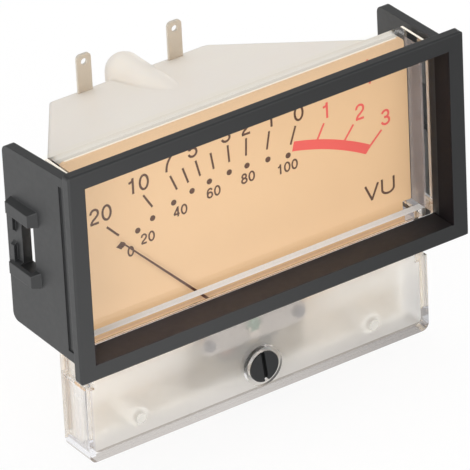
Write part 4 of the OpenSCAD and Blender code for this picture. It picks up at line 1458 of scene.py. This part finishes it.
@dataclass
class DialPrint(Assembly):
    """Scale marks, percent dots, the red band and plain numbers printed on the dial sheet.

    Attributes:
        face: y of the dial's front face in millimetres.
        pivot: z of the pointer's pivot.
        ink: Thickness of the ink film.
        lift: How much thicker the band and the broad mark are, so that no two faces coincide.
        stroke_lift: The same from stroke to stroke of a character.
        sight: Shift of the whole print in x and z; the window bends the sight line, so the places
            measured without it lie off by as much.
        band_step: Shift of the red band alone, as measured beside its marks.
        band_depth: Width of the red band, and how far its upper edge laps over the marks.
        band_ends: Angles of its two ends.
        band_lean: How much further the lower edge's points are turned.
        mark_width: Width of the marks.
        dot_radius: Radius of the percent dots.
        broad_half: Half width and half height of the dark rhomb at the percent scale's left end.
        broad_step: Shift of that rhomb from the first dot.
        broad_lean: How far its right and upper corners lean off.
        plus_at: x and z of the plus.
        plus_half: Half of its height, and half of its stroke's width.
        dark: Mesh of the dark ink.
        red: Mesh of the red ink.
    """

    face: float = 11.2
    pivot: float = 13.6
    ink: float = 0.02
    lift: float = 0.005
    stroke_lift: float = 0.003
    sight: Pair = (-0.44, 0.4)
    band_step: Pair = (0.44, 0.4)
    band_depth: Pair = (1.92, 0.05)
    band_ends: Pair = (19.9, 47.7)
    band_lean: float = 0.3
    mark_width: float = 0.42
    dot_radius: float = 0.58
    broad_half: Pair = (1.05, 0.78)
    broad_step: Pair = (-0.3, -0.06)
    broad_lean: float = 0.1
    plus_at: Pair = (29.3, 55.65)
    plus_half: Pair = (1.95, 0.2)
    dark: MeshSoup = field(default_factory=MeshSoup)
    red: MeshSoup = field(default_factory=MeshSoup)

    # Circles through the marks' ends and the dots: centre x, centre z and radius
    INNER = (0.0, -8.2, 56.37)
    OUTER = (0.4, -8.94, 60.67)
    DOTS = (0.0, -7.16, 53.24)
    NUMBERS = Lettering(3.26, 0.46)
    PERCENTS = Lettering(2.05, 0.36)
    UNIT = Lettering(3.4, 0.46)
    UNIT_AT = {"V": (29.3, 30.55), "U": (32.95, 30.72)}
    # Points along each edge of the red band
    BAND_STEPS = 40
    MARKS = (
        Mark(-42.9, "20", (-29.74, 47.35)),
        Mark(-30.8, "10", (-21.5, 50.65)),
        Mark(-21.9, "7", (-14.93, 52.5)),
        Mark(-17.8),
        Mark(-13.5, "5", (-9.48, 53.5)),
        Mark(-8.55),
        Mark(-2.9, "3", (-2.2, 54.0)),
        Mark(3.2, "2", (2.19, 54.0)),
        Mark(10.8, "1", (7.55, 53.7)),
        Mark(19.4, "0", (13.8, 52.8)),
        Mark(28.7, "1", (19.8, 51.19), Ink.RED),
        Mark(38.3, "2", (27.28, 48.3), Ink.RED),
        Mark(47.5, "3", (32.96, 45.19), Ink.RED),
    )
    PERCENT = (
        Mark(-44.5, "0", (-23.83, 37.61)),
        Mark(-38.6, "20", (-20.05, 39.13)),
        Mark(-32.9),
        Mark(-24.8, "40", (-12.79, 42.06)),
        Mark(-17.7),
        Mark(-11.0, "60", (-5.45, 43.29)),
        Mark(-3.3),
        Mark(3.6, "80", (2.14, 43.57)),
        Mark(11.7),
        Mark(19.5, "100", (10.79, 42.65)),
    )

    def reach(self, angle: float, circle: Vec3) -> float:
        """Finds how far from the pivot a ray at an angle meets a circle, by the quadratic formula.

        Args:
            angle: Angle from upright, clockwise, in degrees.
            circle: Centre x, centre z and radius in millimetres.

        Returns:
            The distance in millimetres.
        """
        a = math.radians(angle)
        ox, oz = -circle[0], self.pivot - circle[1]
        b = ox * math.sin(a) + oz * math.cos(a)
        c = ox * ox + oz * oz - circle[2] ** 2
        return -b + math.sqrt(b * b - c)

    def at(self, angle: float, circle: Vec3) -> Points:
        """Gives x and z of the point where a ray from the pivot meets a circle."""
        a, radius = math.radians(angle), self.reach(angle, circle)
        return np.array([radius * math.sin(a), self.pivot + radius * math.cos(a)])

    def film(self, soup: MeshSoup, outline: Points, lift: float = 0.0) -> None:
        """Adds a printed shape, thicker than the film by a lift."""
        soup.prism(outline, self.face - self.ink - lift, self.face)

    def tick(self, soup: MeshSoup, angle: float) -> None:
        """Adds a straight mark that points at the pivot.

        It is a rectangle from the circle of the inner ends to that of the outer ends, half a mark's
        width to each side of the ray.

        Args:
            soup: Mesh of its ink.
            angle: Its angle.
        """
        a = math.radians(angle)
        side = np.array([math.cos(a), -math.sin(a)]) * self.mark_width / 2.0
        low, high = self.at(angle, self.INNER), self.at(angle, self.OUTER)
        self.film(soup, np.array([low - side, high - side, high + side, low + side]))

    def band(self) -> None:
        """Adds the red band from 0 to the last mark.

        Its upper edge follows the circle of the marks' inner ends and its lower edge a circle the
        band's width below, and its ends lie along the first and the last red mark.
        """
        x, z, radius = self.INNER
        upper, lower = (x, z, radius + self.band_depth[1]), (x, z, radius - self.band_depth[0])
        angles = np.linspace(*self.band_ends, self.BAND_STEPS)
        top = [self.at(a, upper) for a in angles]
        low = [self.at(a + self.band_lean, lower) for a in angles]
        self.film(self.red, np.array(top + low[::-1]) + np.array(self.band_step), self.lift)

    def broad_mark(self) -> None:
        """Adds a dark rhomb in the dark ink under the needle's tip, beside the first percent dot, leaning
        a little to the right.
        """
        (wide, high), lean = self.broad_half, self.broad_lean
        ring = np.array([[wide, lean], [lean, high], [-wide, 0.0], [0.0, -high]])
        centre = self.at(self.PERCENT[0].angle, self.DOTS) + np.array(self.broad_step)
        self.film(self.dark, ring + centre, self.lift)

    def plus(self) -> None:
        """Adds the red plus of the scale's loud end: an upright bar and an arm on each side of it."""
        (x, z), (reach, half) = self.plus_at, self.plus_half
        for x0, x1, up in ((-half, half, reach), (-reach, -half, half), (half, reach, half)):
            ring = np.array([(x0, -up), (x1, -up), (x1, up), (x0, up)])
            self.film(self.red, ring + np.array([x, z]))

    def write(self, soup: MeshSoup, text: str, centre: Pair, style: Lettering) -> None:
        """Adds plain characters, centred on a point.

        Their boxes follow each other by the pitch times the height, and every stroke of a character is
        a little thicker than the one before.

        Args:
            soup: Mesh of the ink.
            text: The characters.
            centre: x and z of their centre.
            style: Their size.
        """
        height = style.height
        for place, letter in enumerate(text):
            left = centre[0] + (place - (len(text) - 1) / 2.0) * PlainCharacters.PITCH * height
            corner = np.array([left - PlainCharacters.MIDDLE * height, centre[1] - height / 2.0])
            for layer, path in enumerate(PlainCharacters.strokes(letter)):
                top = self.face - self.ink - self.stroke_lift * layer
                soup.ribbon(path * height + corner, style.weight, top, self.face)

    def build(self) -> None:
        """Prints the whole scale."""
        soups = {Ink.DARK: self.dark, Ink.RED: self.red}
        for mark in self.MARKS:
            self.tick(soups[mark.ink], mark.angle)
            self.write(soups[mark.ink], mark.label, mark.label_at, self.NUMBERS)
        for dot in self.PERCENT:
            spot = self.at(dot.angle, self.DOTS)
            self.dark.disc(spot, self.dot_radius, self.face - self.ink, self.face)
            self.write(self.dark, dot.label, dot.label_at, self.PERCENTS)
        self.band()
        self.broad_mark()
        for letter, centre in self.UNIT_AT.items():
            self.write(self.dark, letter, centre, self.UNIT)
        for soup in soups.values():
            soup.shift((self.sight[0], 0.0, self.sight[1]))
        self.plus()
        self.keep(self.dark, "scale_print_dark", Ink.DARK.value, "needle_black")
        self.keep(self.red, "scale_print_red", Ink.RED.value, "lead_red")


@dataclass
class CoverTrim(Assembly):
    """The frosted faces of the clear cover and painted highlights along its edges.

    Attributes:
        wall_back: y of the back of the window's front wall.
        shelf_back: y of the shelf's back.
        shelf_lip: y of the back of the thin lip that the shelf ends in.
        shelf_top: z of the shelf's top.
        shelf_under: How far the shelf's frosting reaches under the front wall.
        lip_t: Thickness of that lip.
        window_hw: Half width between the window's side walls.
        highlight_y: Where the painted highlight above the dial begins and ends, behind the dial's front.
        highlight_z: Its underside and top above the dial's top.
        highlight_in: How much shorter it is than the dial at each end.
        cover_hw: Half width of the window box.
        cover_top: z of its upper face.
        rim_t: Width of the painted highlights along that face's side edges.
        rim_y: y where they begin and end.
        wall_t: Thickness of the window's side walls.
        side_y: y where the haze on the window's sides begins and ends.
        side_z: z where it begins and ends.
        skirt_y: y of the skirt's inner face.
        skirt_hw: Half width inside the skirt.
        neck_hw: Half width inside its neck.
        neck_rise: How far above the step the haze on the neck's sides begins.
        step_z: z of the step to the neck.
        floor_z: z of the skirt's inner floor.
        top_z: z of the top of the frosting.
        corner: Cut of the lower corners.
        hole_z: z of the adjuster's hole.
        hole_r: Its radius.
        depth: Depth of the side walls behind the face.
        film: Thickness of the haze.
        behind: Distances behind the skirt's face of its haze, of the pegs' roots and of the sides' haze.
        peg: x and z of the right peg.
        peg_r: Radius of the pegs.
    """

    wall_back: float = 7.3
    shelf_back: float = 8.4
    shelf_lip: float = 8.85
    shelf_top: float = 26.4
    shelf_under: float = 0.45
    lip_t: float = 0.3
    window_hw: float = 37.7
    highlight_y: Pair = (0.4, 0.8)
    highlight_z: Pair = (0.02, 0.05)
    highlight_in: float = 1.3
    cover_hw: float = 39.17
    cover_top: float = 61.0
    rim_t: float = 0.5
    rim_y: Pair = (5.9, 13.6)
    wall_t: float = 1.4
    side_y: Pair = (6.0, 11.15)
    side_z: Pair = (26.45, 59.55)
    skirt_y: float = 8.0
    skirt_hw: float = 36.66
    neck_hw: float = 35.76
    neck_rise: float = 1.5
    step_z: float = 14.75
    floor_z: float = 1.34
    top_z: float = 24.5
    corner: float = 0.9
    hole_z: float = 6.8
    hole_r: float = 2.3
    depth: float = 3.8
    film: float = 0.02
    behind: Vec3 = (0.01, 0.04, 0.06)
    peg: Pair = (26.1, 4.9)
    peg_r: float = 1.08

    # Points on each half of the hole's edge
    HOLE_STEPS = 19

    def finish(self, soup: MeshSoup, name: str, finish: str) -> None:
        """Keeps a mesh as a piece of the clear cover."""
        self.keep(soup, name, finish, "clear_moulding")

    def half_face(self, side: float) -> Points:
        """Gives the outline of one half of the skirt's inner face, cut away round the hole.

        The ring runs up the middle line with a half circle round the hole, then along the top, down
        the neck, out at the step, down the side and round the cut corner.

        Args:
            side: -1 for the left half, 1 for the right half.

        Returns:
            Ring of x and z.
        """
        turn = np.radians(np.linspace(-90.0, 90.0, self.HOLE_STEPS))
        hole = np.column_stack([self.hole_r * np.cos(turn), self.hole_z + self.hole_r * np.sin(turn)])
        rest = np.array(
            [
                [0.0, self.top_z],
                [self.neck_hw, self.top_z],
                [self.neck_hw, self.step_z],
                [self.skirt_hw, self.step_z],
                [self.skirt_hw, self.floor_z + self.corner],
                [self.skirt_hw - self.corner, self.floor_z],
                [0.0, self.floor_z],
            ]
        )
        return np.vstack([hole, rest]) * np.array([side, 1.0])

    def shelf(self) -> None:
        """Adds the frosted top of the shelf, which runs a little under the front wall, and its lip."""
        soup = MeshSoup()
        width, top = (-self.window_hw, self.window_hw), self.shelf_top + self.film
        soup.box(width, (self.wall_back - self.shelf_under, self.shelf_back), (self.shelf_top, top))
        soup.box(width, (self.shelf_back, self.shelf_lip), (top - self.lip_t, top))
        self.finish(soup, "shelf_frosting", "frosted_step")

    def highlight_strips(self) -> None:
        """Adds the painted highlights: along the dial sheet's top and round the cover's upper face."""
        soup = MeshSoup()
        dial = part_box("dial_plate")
        front, top = self.place.depth(dial[0].y), dial[1].z / MM
        reach = dial[1].x / MM - self.highlight_in
        # Painted highlight strip along the dial sheet's top
        soup.box((-reach, reach), moved(self.highlight_y, front), moved(self.highlight_z, top))
        # Painted highlights along the side edges of the cover's upper face
        rim = (self.cover_hw - self.rim_t, self.cover_hw)
        soup.boxes(rim, self.rim_y, (self.cover_top, self.cover_top + self.film))
        self.finish(soup, "painted_highlight_strips", "painted_highlight")

    def window_sides(self) -> None:
        """Adds the haze on the window's two side walls, which runs on into the front wall's corners."""
        soup = MeshSoup()
        wall = self.cover_hw - self.wall_t
        soup.boxes((wall - self.film, wall), self.side_y, self.side_z)
        self.finish(soup, "window_side_frosting", "side_haze")

    def haze(self) -> None:
        """Adds the haze on the skirt's inner face and on its side walls."""
        soup = MeshSoup()
        front = self.skirt_y + self.behind[0]
        for side in SIDES:
            soup.prism(self.half_face(side), front, front + self.film)
        deep = (self.skirt_y + self.behind[2], front + self.depth)
        skirt = (self.skirt_hw, self.skirt_hw + self.film)
        soup.boxes(skirt, deep, (self.floor_z + self.corner, self.step_z))
        neck = (self.neck_hw, self.neck_hw + self.film)
        soup.boxes(neck, deep, (self.step_z + self.neck_rise, self.top_z))
        self.finish(soup, "skirt_frosting", "skirt_haze")

    def pegs(self) -> None:
        """Adds the pale roots of the two pegs."""
        soup = MeshSoup()
        front = self.skirt_y + self.behind[1]
        for side in SIDES:
            soup.disc((side * self.peg[0], self.peg[1]), self.peg_r, front, front + self.film)
        self.finish(soup, "peg_roots", "peg_haze")

    def build(self) -> None:
        """Adds all the frosted faces and painted highlights."""
        for make in (self.shelf, self.highlight_strips, self.window_sides, self.haze, self.pegs):
            make()


@dataclass
class LockingLacquer(Assembly):
    """The dab of green lacquer that locks the front jewel screw.

    Attributes:
        above: How far the dab's middle lies above the screw's.
        radius: Radius of the dab.
        over: How far it stands proud of the screw's head.
    """

    above: float = 0.8
    radius: float = 1.65
    over: float = 0.2

    def build(self) -> None:
        """Adds the dab, seated on the bridge and running over the screw's head."""
        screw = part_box("front_jewel_screw")
        seat, head = self.place.depth(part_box("front_bridge")[0].y), self.place.depth(screw[0].y)
        middle = (screw[0] + screw[1]) / 2.0 / MM
        soup = MeshSoup()
        centre = (middle.x, seat, middle.z + self.above)
        soup.dome(centre, self.radius, seat - head + self.over, facing=-1.0, sides=32, rings=12)
        self.keep(soup, "locking_lacquer", "green_lacquer", "green_lacquer", smooth=True)


@dataclass
class SolderWork(Assembly):
    """Solder joints where the leads meet the tags, the board and the rear bridge."""

    # Node that a joint sits on, which end of its box, x, z, radius, height and facing of the joint
    JOINTS = (
        ("terminal_left", 0, 10.05, 41.33, 0.95, 0.6, -1.0),
        ("rectifier_board", 0, 9.8, 36.4, 0.9, 0.55, -1.0),
        ("rectifier_board", 0, 9.6, 25.2, 0.9, 0.55, -1.0),
        ("rear_bridge", 1, 13.0, 13.6, 0.75, 0.5, 1.0),
    )

    def build(self) -> None:
        """Adds all the joints, left and right, as one piece."""
        soup = MeshSoup()
        for node, end, x, z, radius, height, facing in self.JOINTS:
            seat = self.place.depth(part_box(node)[end].y)
            for side in SIDES:
                soup.dome((side * x, seat, z), radius, height, facing)
        self.keep(soup, "solder_joints", "solder", "tag_plating", smooth=True)


# --------------------------------------------------------------------------------------------------
# Studio
# --------------------------------------------------------------------------------------------------


@dataclass(frozen=True)
class Lamp:
    """One soft area lamp.

    Attributes:
        name: Its name.
        place: Where it hangs, in metres.
        size: Side of its square in metres.
        power: Its power in watts.
    """

    name: str
    place: Vec3
    size: float
    power: float

    def build(self, target: Vector) -> None:
        """Hangs the lamp, aimed at a point.

        Args:
            target: The point it is aimed at.
        """
        data = bpy.data.lights.new(self.name, "AREA")
        data.shape = "SQUARE"
        data.size = self.size
        data.energy = self.power
        lamp = linked(self.name, data)
        lamp.location = self.place
        lamp.rotation_mode = "QUATERNION"
        lamp.rotation_quaternion = (target - Vector(self.place)).to_track_quat("-Z", "Y")


@dataclass
class Studio:
    """Pale floor, white surroundings, soft lamps and the photograph's camera.

    Attributes:
        place: Turns millimetres into the frame.
        daylight: Strength of the even light from all round.
        ceiling: Brightness that gloss mirrors overhead.
        ceiling_from: Heights between which the mirrored light falls to that.
        far_side: Brightness of the floor that gloss mirrors on the right, away from the window light.
        far_from: x between which the mirrored floor falls to that.
        floor_half: Half of the floor's side in millimetres.
        floor_glow: Share of plain white in the floor that the camera sees.
        aim: Point that the lamps are aimed at.
        lamps: The lamps.
    """

    place: Place
    daylight: float = 0.62
    ceiling: float = 0.26
    ceiling_from: Pair = (0.05, 0.45)
    far_side: float = 0.36
    far_from: Pair = (-6.0, 66.0)
    floor_half: float = 4000.0
    floor_glow: float = 0.87
    aim: Vec3 = (0.0, 20.0, 30.0)
    lamps: Tuple[Lamp, ...] = (
        Lamp("key_left", (-0.8, -0.45, 0.4), 0.5, 3.0),
        Lamp("near_left", (-0.22, -0.16, 0.1), 0.12, 0.12),
        Lamp("top", (0.1, 0.2, 0.9), 0.8, 2.3),
        Lamp("back_right", (0.35, 0.2, 0.055), 0.1, 0.5),
        Lamp("front_fill", (0.25, -0.95, 0.25), 0.6, 3.0),
    )

    # The camera as solved from the photograph: its axes, its place and its focal length in pixels
    RIGHT = (0.82136, -0.56873, -0.04378)
    UP = (0.31737, 0.39187, 0.86355)
    BACK = (-0.47397, -0.72318, 0.50236)
    EYE = (-538.44, -808.31, 601.96)
    FOCAL_PX = 6230.113
    FRAME_PX = 470.0
    SENSOR = 36.0
    CLIP = (0.05, 20.0)

    # The floor's darkest and lightest tone, and its clouds per millimetre
    PAPER = (0.93, 0.95)
    PAPER_CLOUDS = 0.02

    def camera(self) -> None:
        """Sets up the camera of the photograph."""
        data = bpy.data.cameras.new("photo_camera")
        data.sensor_width = self.SENSOR
        data.lens = self.FOCAL_PX * self.SENSOR / self.FRAME_PX
        data.clip_start, data.clip_end = self.CLIP
        camera = linked("photo_camera", data)
        axes = Matrix((self.RIGHT, self.UP, self.BACK)).transposed()
        camera.matrix_world = Matrix.Translation(Vector(self.place.points(self.EYE))) @ axes.to_4x4()
        bpy.context.scene.camera = camera

    def floor(self) -> None:
        """Lays the floor: white to the camera, with the object's soft shadow kept."""
        half = self.floor_half
        soup = MeshSoup()
        ring = np.array([[-half, -half], [half, -half], [half, half], [-half, half]])
        soup.add(np.insert(ring, 2, 0.0, axis=1), [range(4)])
        floor = soup.build("floor", self.place)
        graph = Graph(bpy.data.materials.new("floor_paper"))
        colour = graph.mix(graph.noise(self.PAPER_CLOUDS), *((v, v, v, 1.0) for v in self.PAPER))
        paper = graph.principled({"Base Color": colour, "Roughness": 0.9, "Specular IOR Level": 0.1})
        white = graph.add("ShaderNodeEmission", {"Color": tone(WHITE), "Strength": 1.0})
        dark = graph.add("ShaderNodeEmission", {"Strength": 0.0})
        seen = graph.rays("Camera", "Glossy", "Transmission")
        lit = graph.blend(graph.times(seen, self.floor_glow), paper, white)
        card = graph.math("SUBTRACT", 1.0, graph.ramp(graph.axes[0], *self.far_from, 1.0, self.far_side))
        graph.blend(graph.times(card, graph.rays("Glossy")), lit, dark)
        floor.data.materials.append(graph.owner)

    def world(self) -> None:
        """Surrounds the object with white that lights it evenly and mirrors darker overhead."""
        graph = Graph(bpy.data.worlds.new("studio"))
        sky = graph.add("ShaderNodeTexCoord").outputs["Generated"]
        height = graph.add("ShaderNodeSeparateXYZ", {0: sky}).outputs[2]
        ceiling = graph.ramp(height, *self.ceiling_from, 1.0, self.ceiling)
        plain = graph.stretch(graph.rays("Camera", "Transmission"), self.daylight, 1.0)
        mirrored = graph.times(graph.math("SUBTRACT", ceiling, plain), graph.rays("Glossy"))
        strength = graph.math("ADD", plain, mirrored)
        graph.show(graph.add("ShaderNodeBackground", {0: tone(WHITE), 1: strength}))
        bpy.context.scene.world = graph.owner

    def build(self) -> None:
        """Sets up the whole studio."""
        self.camera()
        self.floor()
        self.world()
        for lamp in self.lamps:
            lamp.build(Vector(self.place.points(self.aim)))
        bpy.context.scene.view_settings.view_transform = "Standard"


def main() -> None:
    """Loads the frame, builds every sub-assembly and sets up the studio."""
    logging.basicConfig(level=logging.INFO, format="%(message)s")
    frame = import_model()
    place = Place(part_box("bezel")[0].y)
    finishes = FinishLibrary(place)
    Studio(place).build()
    CadNodes(place, finishes).build(frame)
    for assembly in (DialPrint, CoverTrim, LockingLacquer, SolderWork):
        assembly(place, finishes).build()


if __name__ == "__main__":
    main()
